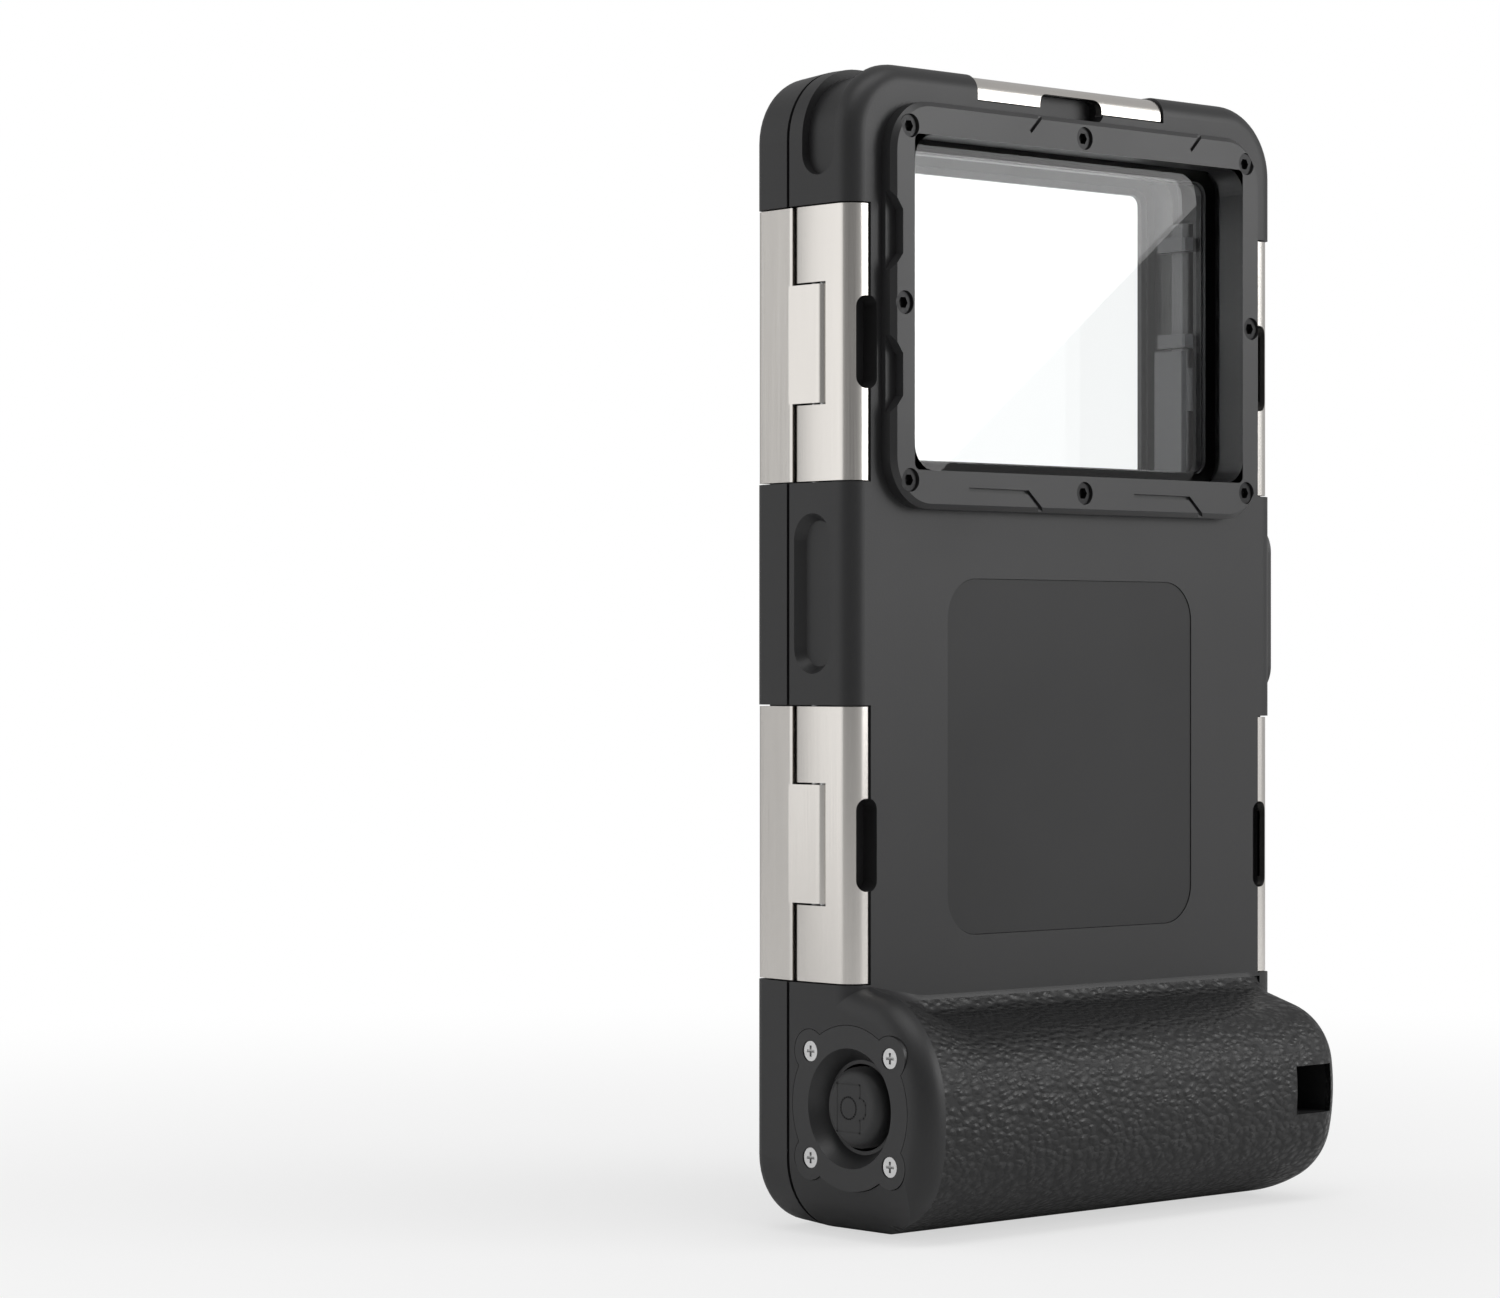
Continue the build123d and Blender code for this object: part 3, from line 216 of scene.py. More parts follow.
def grained_leather(name, colour_value, pore):
    """Leather-look skin, pressed with a pebbled grain. Pebbles shine on top and stay dark in the creases."""
    material, tree = new_material(name)
    # The grain was pulled along the grip, so each pebble is longer that way
    where = object_coordinates(tree, (0.6, 1.0, 1.0))
    bend = add(tree, "ShaderNodeTexNoise", {}, {"Vector": where, "Scale": 1 / (3 * pore), "Detail": 3.0})
    shift = add(tree, "ShaderNodeVectorMath", {"operation": "SCALE"}, {
        0: bend.outputs["Color"], "Scale": 1.2 * pore,
    })
    bent = add(tree, "ShaderNodeVectorMath", {"operation": "ADD"}, {0: where, 1: shift.outputs[0]})
    cells = add(tree, "ShaderNodeTexVoronoi", {"feature": "SMOOTH_F1"}, {
        "Vector": bent.outputs[0], "Scale": 1 / pore, "Randomness": 0.9, "Smoothness": 0.25,
    })
    pebble = add(tree, "ShaderNodeMapRange", {}, {
        "Value": cells.outputs["Distance"], "From Min": 0.1, "From Max": 0.75, "To Min": 1.0, "To Max": 0.0,
    })
    fine = add(tree, "ShaderNodeTexNoise", {}, {"Vector": where, "Scale": 1 / (0.3 * MM), "Detail": 2.0})
    both = add(tree, "ShaderNodeMath", {"operation": "MULTIPLY_ADD"}, {
        0: fine.outputs["Fac"], 1: 0.08, 2: pebble.outputs[0],
    })
    relief = add(tree, "ShaderNodeBump", {}, {
        "Height": both.outputs[0], "Strength": 0.9, "Distance": 0.26 * MM,
    })
    rough = add(tree, "ShaderNodeMapRange", {}, {
        "Value": pebble.outputs[0], "From Min": 0.0, "From Max": 1.0, "To Min": 0.55, "To Max": 0.29,
    })
    shader = add(tree, "ShaderNodeBsdfPrincipled", {}, {
        "Base Color": colour_value, "Roughness": rough.outputs[0], "Normal": relief.outputs[0],
        "IOR": 1.48, "Specular IOR Level": 0.5,
    })
    finish_material(tree, shader)
    return material


def clear_acrylic(name):
    """Polished clear acrylic: it hardly tints what is behind it and mirrors the room at a slant."""
    material, tree = new_material(name)
    # The body bends light little, so that the thin panes stay clear; the coat has the gloss of acrylic
    shader = add(tree, "ShaderNodeBsdfPrincipled", {}, {
        "Base Color": linear("#fcfdfd"), "Roughness": 0.0, "IOR": 1.12, "Transmission Weight": 1.0,
        "Coat Weight": 0.45, "Coat Roughness": 0.0, "Coat IOR": 1.49,
    })
    finish_material(tree, shader)
    return material


def soft_rubber(name, colour_value):
    """Moulded silicone rubber: matt, with a soft sheen at its edges."""
    material, tree = new_material(name)
    where = object_coordinates(tree)
    dust = add(tree, "ShaderNodeTexNoise", {}, {"Vector": where, "Scale": 1 / (0.25 * MM), "Detail": 2.0})
    relief = add(tree, "ShaderNodeBump", {}, {
        "Height": dust.outputs["Fac"], "Strength": 0.3, "Distance": 0.02 * MM,
    })
    shader = add(tree, "ShaderNodeBsdfPrincipled", {}, {
        "Base Color": colour_value, "Roughness": 0.52, "Normal": relief.outputs[0],
        "Sheen Weight": 0.1, "Sheen Roughness": 0.5,
    })
    finish_material(tree, shader)
    return material


def dress(material, *names):
    """Gives a material to the whole of each named CAD node."""
    for name in names:
        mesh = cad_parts[name].data
        for index in range(max(1, len(mesh.materials))):
            if index < len(mesh.materials):
                mesh.materials[index] = material
            else:
                mesh.materials.append(material)


def on_back(x, z, depth):
    """Point on a plane that faces the camera side, at a depth behind the parting plane, in millimetres."""
    return Vector((MIDDLE_X + x * MM, PARTING_Y - depth * MM, z * MM))


def on_shutter_side(depth, z, out):
    """Point on a plane that faces the shutter side, a distance out from the case's middle, in millimetres."""
    return Vector((MIDDLE_X - out * MM, PARTING_Y - depth * MM, z * MM))


def stroke(points, width, closed=False):
    """Quads that draw a line of a given width through points."""
    ends = list(points) + ([points[0]] if closed else [])
    quads = []
    for a, b in zip(ends, ends[1:]):
        dx, dz = b[0] - a[0], b[1] - a[1]
        size = math.hypot(dx, dz)
        ux, uz = dx / size * width / 2, dz / size * width / 2
        quads.append([
            (a[0] - ux - uz, a[1] - uz + ux), (a[0] - ux + uz, a[1] - uz - ux),
            (b[0] + ux + uz, b[1] + uz - ux), (b[0] + ux - uz, b[1] + uz + ux),
        ])
    return quads


def arc(x, z, radius, start=0.0, end=360.0, steps=24):
    """Points on an arc given in degrees with both its ends, or on a whole circle."""
    turn = [math.radians(start + (end - start) * i / steps) for i in range(steps + (end - start < 360))]
    return [(x + radius * math.cos(a), z + radius * math.sin(a)) for a in turn]


def raised(name, outlines, place, low, high, material, slot, body):
    """One mesh of flat-topped pieces that stand between two levels of a plane, riding on a body."""
    verts, faces = [], []
    for outline in outlines:
        first, count = len(verts), len(outline)
        verts += [place(a, b, low) for a, b in outline]
        verts += [place(a, b, high) for a, b in outline]
        faces.append(tuple(range(first + count, first + 2 * count)))
        faces.append(tuple(reversed(range(first, first + count))))
        for i in range(count):
            j = (i + 1) % count
            faces.append((first + i, first + j, first + count + j, first + count + i))
    mesh = bpy.data.meshes.new(name)
    mesh.from_pydata(verts, [], faces)
    mesh.validate()
    mesh.update()
    piece = bpy.data.objects.new(name, mesh)
    bpy.context.scene.collection.objects.link(piece)
    mesh.materials.append(material)
    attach(piece, body)
    return piece


class CASE_OT_shells(bpy.types.Operator):
    """Finish the moulded shells, the bezel and the plates"""

    bl_idname = "phone_case.shells"
    bl_label = "Shells and bezel"

    def execute(self, context):
        colours, sizes = context.scene.case_colours, context.scene.case_sizes
        # Black polycarbonate with a fine matt grain
        shell = moulded_plastic("polycarbonate_moulded_matt", colours.shell, sizes.grain, 0.46)
        dress(
            shell, "rear_shell", "camera_frame", "shell_foot", "corner_low_front", "corner_high_front",
            "corner_low_back", "corner_high_back", "grip_core", "front_cover",
        )
        # Glass-filled nylon of the screwed-on pieces: a little smoother, so its edges catch the light
        nylon = moulded_plastic("nylon_moulded_satin", colours.bezel, sizes.grain, 0.4, 0.25)
        dress(nylon, "camera_bezel", "shutter_plate", "tripod_plate")
        # The bezel's opening has tight corners, filled in from the bezel's wider ones
        low, high = VIEW_HEIGHTS
        wide, tight = VIEW_CORNER, 1.2
        places = (
            (VIEW_HALF_WIDTH, high, 0), (-VIEW_HALF_WIDTH, high, 90),
            (-VIEW_HALF_WIDTH, low, 180), (VIEW_HALF_WIDTH, low, 270),
        )
        corners = []
        for x, z, start in places:
            right = -1 if x > 0 else 1
            up = -1 if z > low else 1
            outer = arc(x + right * tight, z + up * tight, tight, start, start + 90, 6)
            inner = arc(x + right * wide, z + up * wide, wide, start + 90, start, 10)
            corners.append(outer + inner)
        raised("bezel_opening_corners", corners, on_back, *VIEW_WALL_DEPTHS, nylon, "bezel_plastic", "case")
        film = moulded_plastic("polyester_film_matt", colours.label, sizes.grain, 0.55, 0.2)
        dress(film, "label_panel")
        # Steel screws, blackened or nickel plated
        blackened = plain_metal("steel_black_oxide", colours.black_oxide, 0.35, 0.6)
        dress(
            blackened, "bezel_screws", "tripod_plate_screws", "platform_screw",
            "shutter_side_slider_rivet", "tripod_side_slider_rivet", "tripod_insert",
        )
        dress(plain_metal("steel_nickel_plated", colours.bright, 0.18), "shutter_plate_screws")
        return {"FINISHED"}


class CASE_OT_grip(bpy.types.Operator):
    """Finish the leather-look skin of the grip"""

    bl_idname = "phone_case.grip"
    bl_label = "Grip"

    def execute(self, context):
        colours, sizes = context.scene.case_colours, context.scene.case_sizes
        dress(grained_leather("leather_pressed_grain", colours.leather, sizes.pore), "grip_skin")
        return {"FINISHED"}


def latch_frame(name):
    """A latch's middle on the body's side at the parting plane, the way out of the body and the way along."""
    places = {
        "shutter_side_upper": ((-HALF_WIDTH, 154.0), (-1, 0, 0), (0, 0, 1)),
        "shutter_side_lower": ((-HALF_WIDTH, 67.6), (-1, 0, 0), (0, 0, 1)),
        "tripod_side_upper": ((HALF_WIDTH, 154.0), (1, 0, 0), (0, 0, -1)),
        "tripod_side_lower": ((HALF_WIDTH, 65.0), (1, 0, 0), (0, 0, -1)),
        "top": ((0.0, HEIGHT), (0, 0, 1), (1, 0, 0)),
        "bottom": ((0.0, 0.0), (0, 0, -1), (-1, 0, 0)),
    }
    (x, z), out, along = places[name]
    return on_back(x, z, 0.0), Vector(out), Vector(along)


def prism(outline, low, high, place):
    """Closed mesh of an outline drawn from one level to another, where place puts a point of it."""
    count = len(outline)
    made = bmesh.new()
    rings = [[made.verts.new(place(a, b, level)) for a, b in outline] for level in (low, high)]
    made.faces.new(rings[0][::-1])
    made.faces.new(rings[1])
    for i in range(count):
        j = (i + 1) % count
        made.faces.new((rings[0][i], rings[0][j], rings[1][j], rings[1][i]))
    bmesh.ops.recalc_face_normals(made, faces=made.faces)
    mesh = bpy.data.meshes.new("prism")
    made.to_mesh(mesh)
    made.free()
    return mesh


def out_back_along(u, v, w):
    """Point in a lever's own frame: out of the body, back from the parting plane and along the latch."""
    return Vector((u, v, w))


def out_along_back(u, w, v):
    """The same point for an outline that is drawn on the sheet and cut through it from the rear."""
    return Vector((u, v, w))


def lever_mesh():
    """Lever in its own frame: a sheet with a wide rear bend, the tongue's cut-out and the finger notch."""
    face, inner = -0.4, -1.8
    sheet, bend, lip = 1.4, 3.3, 1.0
    front, rear, flange = 1.2, 15.2, -4.7
    half_length, tongue_half, tongue_end = 23.75, 10.6, 9.1
    outline = [(inner, front)]
    outline += arc(face - lip, front + lip, lip, -90, 0, 5)
    outline += arc(face - bend, rear - bend, bend, 0, 90, 14)
    outline += [(flange, rear), (flange, rear - sheet)]
    outline += arc(face - bend, rear - bend, bend - sheet, 90, 0, 8)
    sheet_part = prism(outline, -half_length, half_length, out_back_along)
    gap = [(-9, 0), (1, 0), (1, tongue_end), (-9, tongue_end)]
    tongue = prism(gap, -tongue_half, tongue_half, out_back_along)
    notch_out, notch_in, notch_half, corner = -2.2, -7.0, 8.0, 1.9
    notch = arc(notch_out - corner, -notch_half + corner, corner, -90, 0, 6)
    notch += arc(notch_out - corner, notch_half - corner, corner, 0, 90, 6)
    notch += [(notch_in, notch_half), (notch_in, -notch_half)]
    finger = prism(notch, 9.6, 16.6, out_along_back)
    whole = bpy.data.objects.new("lever_blank", sheet_part)
    bpy.context.scene.collection.objects.link(whole)
    tools = []
    for mesh in (tongue, finger):
        tool = bpy.data.objects.new("lever_tool", mesh)
        bpy.context.scene.collection.objects.link(tool)
        cut = whole.modifiers.new("cut", "BOOLEAN")
        cut.object, cut.operation, cut.solver = tool, "DIFFERENCE", "EXACT"
        tools.append(tool)
    bpy.context.view_layer.update()
    cut_sheet = whole.evaluated_get(bpy.context.evaluated_depsgraph_get())
    made = bmesh.new()
    made.from_mesh(bpy.data.meshes.new_from_object(cut_sheet))
    # Knuckles around the base pin and the link pin, on both sides of the tongue
    knuckles = ((-3.1, 3.9, 2.7), (-2.3, 6.7, 1.9))
    for side in (-1, 1):
        low, high = sorted((side * tongue_half, side * half_length))
        for out, back, radius in knuckles:
            ring = arc(out, back, radius, 0, 345, 23)
            made.from_mesh(prism(ring, low, high, out_back_along))
    mesh = bpy.data.meshes.new("lever")
    made.to_mesh(mesh)
    made.free()
    for item in tools + [whole]:
        bpy.data.objects.remove(item)
    mesh.shade_smooth()
    mesh.set_sharp_from_angle(angle=math.radians(25))
    return mesh


class CASE_OT_latches(bpy.types.Operator):
    """Finish the six draw latches in brushed steel"""

    bl_idname = "phone_case.latches"
    bl_label = "Latches"

    def execute(self, context):
        steel = context.scene.case_colours.steel
        upright = brushed_steel("stainless_brushed_upright", steel, "Z")
        level = brushed_steel("stainless_brushed_level", steel, "X")
        blank = lever_mesh()
        for name in SIDE_LATCHES + ("top", "bottom"):
            finish = upright if name in SIDE_LATCHES else level
            dress(finish, f"{name}_lever", f"{name}_link")
            # The lever's bend is as wide as the shell's own edge, so it lies flush with it
            origin, out, along = latch_frame(name)
            back = Vector((0, -1, 0))
            mesh = blank.copy()
            for vert in mesh.vertices:
                u, v, w = vert.co
                vert.co = origin + (out * u + back * v + along * w) * MM
            mesh.materials.append(finish)
            lever = bpy.data.objects.new(f"{name}_lever_bent", mesh)
            context.scene.collection.objects.link(lever)
            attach(lever, f"{name}_lever")
            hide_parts(f"{name}_lever")
        rod = plain_metal("steel_blackened_rod", linear("#4e4e4f"), 0.34, 0.7)
        dress(rod, "trigger_rod", "support_rod")
        pin = plain_metal("steel_ground", linear("#b9b9b9"), 0.25)
        link_pins = [f"{name}_link_pin" for name in SIDE_LATCHES + ("top", "bottom")]
        dress(pin, "latch_base_pins", "shutter_spring", *link_pins)
        # The button presses the outer end of its spring inwards; here the spring is a plain copy of the CAD
        # node's mesh, in place of the hidden node
        spring = bpy.data.objects.new("shutter_spring_coil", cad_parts["shutter_spring"].data.copy())
        context.scene.collection.objects.link(spring)
        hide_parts("shutter_spring")
        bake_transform(spring)
        return {"FINISHED"}


class CASE_OT_windows(bpy.types.Operator):
    """Finish the two windows and the seals"""

    bl_idname = "phone_case.windows"
    bl_label = "Windows and seals"

    def execute(self, context):
        dress(clear_acrylic("acrylic_polished"), "screen_window", "camera_window")
        rubber = soft_rubber("silicone_moulded_seal", context.scene.case_colours.rubber)
        dress(rubber, "main_seal", "screen_window_seal", "camera_window_seal", "shutter_seal")
        return {"FINISHED"}


class CASE_OT_controls(bpy.types.Operator):
    """Finish the shutter button with its camera sign, and put the thread into the tripod insert"""

    bl_idname = "phone_case.controls"
    bl_label = "Button and tripod thread"

    def execute(self, context):
        colours, sizes = context.scene.case_colours, context.scene.case_sizes
        rubber = soft_rubber("silicone_moulded_button", colours.rubber)
        dress(rubber, "shutter_button")
        # The sign's lines follow a camera that lies on its side
        line = 0.8 * sizes.line / MM
        body = [
            (-3.6, -4.1), (2.0, -4.1), (2.0, -1.9), (3.0, -1.5), (3.4, -0.8),
            (3.4, 0.8), (3.0, 1.5), (2.0, 1.9), (2.0, 4.1), (-3.6, 4.1),
        ]
        lines = stroke([(BUTTON_DEPTH + a, BUTTON_HEIGHT + b) for a, b in body], line, closed=True)
        lines += stroke(arc(BUTTON_DEPTH - 0.8, BUTTON_HEIGHT, 1.9), line, closed=True)
        # The sign is engraved in the button; its lines are drawn as thin raised strokes in near-black, a
        # painted shade that stands in for the shade in the engraved grooves
        dark = soft_rubber("silicone_sign_painted_groove_shade", linear("#0e0e0f"))
        button_face = (54.0, 54.43)
        raised("shutter_sign", lines, on_shutter_side, *button_face, dark, "button_rubber", "shutter_button")

        # Ridge of the thread: a coil with a three-sided section inside the insert's bore
        steps, turns, bore, mouth = 28, 5, 2.6, 55.6
        pitch = sizes.thread / MM
        section = ((bore + 0.02, 0.0), (bore - 0.38, -pitch * 0.45), (bore + 0.02, -pitch * 0.9))
        verts, faces = [], []
        for i in range(steps * turns + 1):
            turn = 2 * math.pi * i / steps
            start = mouth - pitch * i / steps
            for radius, shift in section:
                verts.append(Vector((
                    MIDDLE_X + (start + shift) * MM,
                    PARTING_Y + (radius * math.cos(turn) - TRIPOD_DEPTH) * MM,
                    (TRIPOD_HEIGHT + radius * math.sin(turn)) * MM,
                )))
            if i:
                a, b = 3 * (i - 1), 3 * i
                faces += [(a, a + 1, b + 1, b), (a + 1, a + 2, b + 2, b + 1), (a + 2, a, b, b + 2)]
        mesh = bpy.data.meshes.new("tripod_thread")
        mesh.from_pydata(verts, [], faces)
        mesh.update()
        thread = bpy.data.objects.new("tripod_thread", mesh)
        context.scene.collection.objects.link(thread)
        mesh.materials.append(plain_metal("steel_black_oxide_thread", linear("#4a4a4b"), 0.35, 0.8))
        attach(thread, "case")
        return {"FINISHED"}


def comb_centres(x_range, z_range, across, past_x=0.0, past_z=0.0):
    """Centres of honeycomb cells in a rectangle, or a little past its right and upper edges."""
    side = across / math.sqrt(3)
    column, x = 0, x_range[0]
    while x <= x_range[1] + past_x:
        z = z_range[0] + (across / 2 if column % 2 else 0)
        while z <= z_range[1] + past_z:
            yield x, z
            z += across
        x += side * 1.5
        column += 1


def hexagon(x, z, reach, count=6):
    """The first corners of a hexagon with two corners level with its middle."""
    turns = [math.radians(60 * i) for i in range(count)]
    return [(x + reach * math.cos(a), z + reach * math.sin(a)) for a in turns]


def clamp(value, limits):
    """A value brought within limits."""
    return min(max(value, limits[0]), limits[1])


def comb_cells(x_range, z_range, across, gap, blocked):
    """Honeycomb cells with level tops that lie in a rectangle and clear of the blocked boxes."""
    side = across / math.sqrt(3)
    reach = side - gap / math.sqrt(3)
    smallest = across * across * 0.2
    cells = []
    for x, z in comb_centres(x_range, z_range, across):
        cell = [(clamp(a, x_range), clamp(b, z_range)) for a, b in hexagon(x, z, reach)]
        hit = any(a0 - side < x < a1 + side and b0 - side < z < b1 + side for a0, a1, b0, b1 in blocked)
        pairs = zip(cell, cell[1:] + cell[:1])
        area = sum(a[0] * b[1] - b[0] * a[1] for a, b in pairs) / 2
        if not hit and area > smallest:
            cells.append(cell)
    return cells


def comb_lines(x_range, z_range, across, width, blocked):
    """Lines between honeycomb cells in a rectangle, clear of the blocked boxes."""
    side = across / math.sqrt(3)
    lines = []
    for x, z in comb_centres(x_range, z_range, across, side, across):
        corners = hexagon(x, z, side, 4)
        for ends in zip(corners, corners[1:]):
            keep = all(
                x_range[0] <= a <= x_range[1] and z_range[0] <= b <= z_range[1] for a, b in ends
            )
            hit = any(
                a0 < a < a1 and b0 < b < b1 for a, b in ends for a0, a1, b0, b1 in blocked
            )
            if keep and not hit:
                lines += stroke(ends, width)
    return lines


def padlock(x, z, line, open_shackle):
    """A small padlock drawn in lines."""
    box = [(x - 1.3, z - 1.2), (x + 1.3, z - 1.2), (x + 1.3, z + 0.8), (x - 1.3, z + 0.8)]
    lines = stroke(box, line, True)
    start = 40 if open_shackle else 0
    lines += stroke(arc(x, z + 1.3, 0.9, start, 180, 10), line)
    lines += stroke([(x - 0.9, z + 0.8), (x - 0.9, z + 1.4)], line)
    if not open_shackle:
        lines += stroke([(x + 0.9, z + 0.8), (x + 0.9, z + 1.4)], line)
    return lines


def two_way_arrow(x, z, reach, line, upright=True):
    """A dotted arrow with a head at each end."""
    marks = []
    for direction in (-1, 1):
        tip = direction * reach
        head = [(-0.9, tip - direction * 1.3), (0, tip), (0.9, tip - direction * 1.3)]
        marks.append(head if direction < 0 else head[::-1])
        marks += stroke([(0, tip - direction * 1.3), (0, tip - direction * 2.4)], line)
        for dot in range(3):
            centre = tip - direction * (3.2 + 0.9 * dot)
            marks += stroke([(0, centre - 0.2), (0, centre + 0.2)], line)
    return [[(x + a, z + b) if upright else (x + b, z + a) for a, b in mark] for mark in marks]


class CASE_OT_inside(bpy.types.Operator):
    """Finish the fittings inside: honeycomb relief, knurled sliders and moulded signs"""

    bl_idname = "phone_case.inside"
    bl_label = "Fittings inside"

    def execute(self, context):
        colours, sizes = context.scene.case_colours, context.scene.case_sizes
        fitting = moulded_plastic("abs_moulded_satin", colours.fitting, sizes.grain, 0.42)
        dress(
            fitting, "phone_platform", "shutter_side_lock_slider", "tripod_side_lock_slider", "stop_rack",
            "bottom_stop", "width_rest", "trigger_brackets", "trigger_finger", "trigger_crank",
            "support_brackets", "support_pad",
        )
        across, gap, line = sizes.comb / MM, sizes.comb_line / MM, sizes.line / MM
        # Left, right, low and high edges of the two sliders' slots and of the platform's screw
        slots = [(-25.5, -16.5, 62.0, 101.5), (16.5, 25.5, 62.0, 101.5), (-2.3, 2.3, 108.7, 113.3)]
        cells = comb_cells((-25.4, 25.4), (64.6, 125.4), across, gap, slots)
        raised("platform_honeycomb", cells, on_back, 6.5, 6.3, fitting, "fitting_plastic", "case")
        floor = moulded_plastic("polycarbonate_moulded_ribs", linear("#4d4e50"), sizes.grain, 0.45)
        stop_channel = (-16.0, 15.0, 0, 46.5)
        rest_channel = (-36.5, -28.5, 94.0, 126.0)
        lines = comb_lines((-43.5, 43.5), (11.5, 63.5), across, gap, [stop_channel])
        lines += comb_lines((-43.5, -27.0), (64.0, 126.0), across, gap, [rest_channel])
        raised("floor_honeycomb", lines, on_back, 12.4, 12.15, floor, "shell_plastic", "case")
        dark = moulded_plastic("abs_moulded_sign", linear("#232324"), sizes.grain, 0.5)
        signs = []
        for x in (-21.0, 21.0):
            signs += padlock(x, 66.3, line, x < 0)
            signs += padlock(x, 98.6, line, x > 0)
        raised("padlock_signs", signs, on_back, 6.5, 6.38, dark, "fitting_plastic", "case")
        arrows = two_way_arrow(-10.5, 36.5, 5.8, line)
        raised("stop_arrow", arrows, on_back, 14.0, 13.9, dark, "shell_plastic", "case")
        side_arrow = two_way_arrow(-32.5, 100.0, 2.8, line, upright=False)
        heads = side_arrow[:1] + side_arrow[5:6]
        raised("rest_arrow", heads, on_back, 7.7, 7.58, dark, "fitting_plastic", "width_rest")
        # Raised points in two fields on each slider, every other row shifted by half a pitch
        pitch, field, reach = sizes.knurl / MM, 7.9, 0.36
        count = int(5.6 / pitch)
        for name, x, middle in (("shutter_side", -21.0, 84.7), ("tripod_side", 21.0, 81.1)):
            points = []
            for low in (middle - 10.6, middle + 2.7):
                for row in range(int(field / (pitch / 2))):
                    z = low + 0.4 + row * pitch / 2
                    offset = pitch / 2 if row % 2 else 0
                    for i in range(count):
                        a = x - count * pitch / 2 + pitch / 4 + i * pitch + offset
                        points.append([(a, z - reach), (a + reach, z), (a, z + reach), (a - reach, z)])
            raised(f"{name}_slider_knurl", points, on_back, 6.0, 5.8, fitting, "fitting_plastic",
                   f"{name}_lock_slider")
        return {"FINISHED"}


def lamp(name, place, target, size, power):
    """A rectangular soft box that faces a point."""
    data = bpy.data.lights.new(name, "AREA")
    data.shape = "RECTANGLE"
    data.size, data.size_y = size
    data.energy = power
    made = bpy.data.objects.new(name, data)
    made.location = place
    made.rotation_euler = (Vector(target) - Vector(place)).to_track_quat("-Z", "Y").to_euler()
    bpy.context.scene.collection.objects.link(made)
    return made


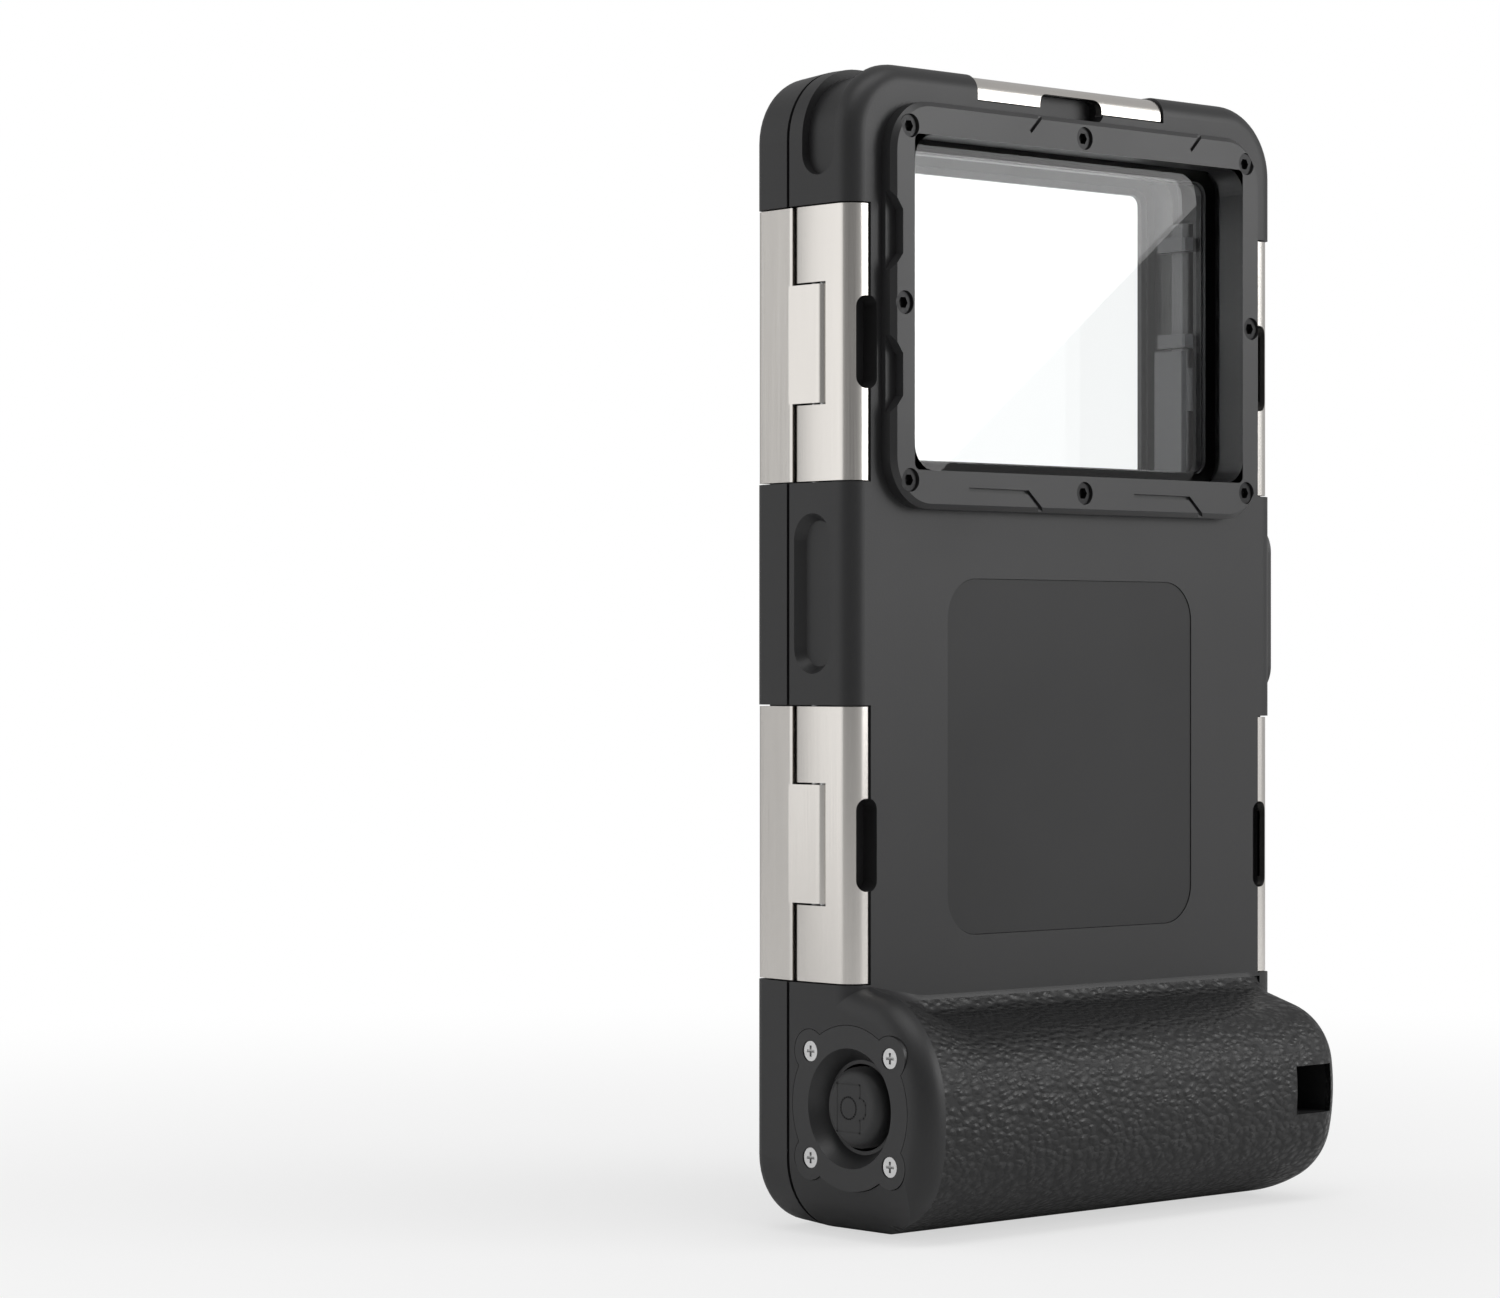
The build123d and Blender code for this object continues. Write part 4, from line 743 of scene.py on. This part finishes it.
class CASE_OT_stage(bpy.types.Operator):
    """Set the pale floor, the soft studio light and the camera"""

    bl_idname = "phone_case.stage"
    bl_label = "Studio"

    def execute(self, context):
        scene = context.scene
        mesh = bpy.data.meshes.new("floor")
        reach = 4
        corners = [(-reach, -reach, 0), (reach, -reach, 0), (reach, reach, 0), (-reach, reach, 0)]
        mesh.from_pydata(corners, [], [(0, 1, 2, 3)])
        mesh.update()
        floor = bpy.data.objects.new("floor", mesh)
        floor.location.z = -0.00002
        scene.collection.objects.link(floor)
        # Pale painted board, white to the camera apart from the shadow near the case
        material, tree = new_material("board_painted_pale")
        path = add(tree, "ShaderNodeLightPath")
        clear = add(tree, "ShaderNodeMath", {"operation": "MAXIMUM"}, {
            0: path.outputs["Is Camera Ray"], 1: path.outputs["Is Transmission Ray"],
        })
        # The shadow fades out into white about half a metre from the case
        where = add(tree, "ShaderNodeTexCoord")
        away = add(tree, "ShaderNodeVectorMath", {"operation": "LENGTH"}, {0: where.outputs["Object"]})
        fade = add(tree, "ShaderNodeMapRange", {"interpolation_type": "SMOOTHSTEP"}, {
            "Value": away.outputs["Value"], "From Min": 0.08, "From Max": 0.5, "To Min": 0.62, "To Max": 1.0,
        })
        seen = add(tree, "ShaderNodeMath", {"operation": "MULTIPLY"}, {
            0: clear.outputs[0], 1: fade.outputs[0],
        })
        paint = add(tree, "ShaderNodeBsdfDiffuse", {}, {"Color": linear("#f2f2f2")})
        glow = add(tree, "ShaderNodeEmission", {}, {"Color": (1, 1, 1, 1), "Strength": 1.0})
        mixed = add(tree, "ShaderNodeMixShader", {}, {
            0: seen.outputs[0], 1: paint.outputs[0], 2: glow.outputs[0],
        })
        finish_material(tree, mixed)
        mesh.materials.append(material)

        # The room is white behind the object and darker towards the side the picture is taken from
        world = bpy.data.worlds.new("studio")
        scene.world = world
        world.use_nodes = True
        tree = world.node_tree
        tree.nodes.clear()
        path = add(tree, "ShaderNodeLightPath")
        where = add(tree, "ShaderNodeTexCoord")
        toward = add(tree, "ShaderNodeVectorMath", {"operation": "DOT_PRODUCT"}, {
            0: where.outputs["Generated"], 1: (-0.67, -0.74, 0.0),
        })
        level = add(tree, "ShaderNodeMapRange", {}, {
            "Value": toward.outputs["Value"], "From Min": 0.3, "From Max": 0.95,
            "To Min": 0.48, "To Max": 0.22,
        })
        clear = add(tree, "ShaderNodeMath", {"operation": "MAXIMUM"}, {
            0: path.outputs["Is Camera Ray"], 1: path.outputs["Is Transmission Ray"],
        })
        strength = add(tree, "ShaderNodeMath", {"operation": "MAXIMUM"}, {
            0: clear.outputs[0], 1: level.outputs[0],
        })
        sky = add(tree, "ShaderNodeBackground", {}, {
            "Color": (1, 1, 1, 1), "Strength": strength.outputs[0],
        })
        add(tree, "ShaderNodeOutputWorld", {}, {"Surface": sky.outputs[0]})

        middle = (0.0, 0.0, 0.1)
        lamp("left_soft_box", (-0.9, 0.46, 0.3), middle, (0.95, 1.2), 2.4)
        lamp("right_soft_box", (0.75, -0.85, 0.45), middle, (0.9, 0.9), 1.0)
        lamp("top_soft_box", (-0.1, -0.3, 1.0), middle, (0.9, 0.4), 2.8)
        # A slanted panel that the camera window mirrors, so a straight sheen crosses its upper corner
        panel = lamp("slanted_panel", (0.5365, -0.544, 0.38), middle, (0.6, 0.3), 2.2)
        panel.rotation_euler = (math.radians(90), math.radians(-37.6), 0)

        # Place, turn and lens that show the case as in the picture
        data = bpy.data.cameras.new("camera")
        data.sensor_width = 36.0
        data.lens = 104.6
        data.shift_y = 0.0096
        data.clip_start = 0.01
        camera = bpy.data.objects.new("camera", data)
        camera.location = (-0.568, -0.5443, 0.0988)
        camera.rotation_euler = (math.radians(90), 0, math.radians(-42.11))
        scene.collection.objects.link(camera)
        scene.camera = camera
        scene.view_settings.view_transform = "Standard"
        return {"FINISHED"}


STEPS = (
    CASE_OT_shells, CASE_OT_grip, CASE_OT_latches, CASE_OT_windows,
    CASE_OT_controls, CASE_OT_inside, CASE_OT_stage,
)


class CASE_PT_panel(bpy.types.Panel):
    """Lists the steps that dress the case"""

    bl_idname = "CASE_PT_panel"
    bl_label = "Phone Case"
    bl_space_type = "VIEW_3D"
    bl_region_type = "UI"
    bl_category = "Phone Case"

    def draw(self, context):
        for step in STEPS:
            self.layout.operator(step.bl_idname)
        for group in (context.scene.case_colours, context.scene.case_sizes):
            for name in group.__annotations__:
                self.layout.prop(group, name)


CLASSES = (CaseColours, CaseSizes) + STEPS + (CASE_PT_panel,)


def register():
    """Registers the classes and the scene's settings."""
    for item in CLASSES:
        bpy.utils.register_class(item)
    bpy.types.Scene.case_colours = bpy.props.PointerProperty(type=CaseColours)
    bpy.types.Scene.case_sizes = bpy.props.PointerProperty(type=CaseSizes)


def unregister():
    """Removes the settings and the classes."""
    del bpy.types.Scene.case_sizes
    del bpy.types.Scene.case_colours
    for item in reversed(CLASSES):
        bpy.utils.unregister_class(item)


def main():
    """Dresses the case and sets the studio."""
    register()
    bpy.ops.phone_case.shells()
    bpy.ops.phone_case.grip()
    bpy.ops.phone_case.latches()
    bpy.ops.phone_case.windows()
    bpy.ops.phone_case.controls()
    bpy.ops.phone_case.inside()
    bpy.ops.phone_case.stage()


if __name__ == "__main__":
    main()
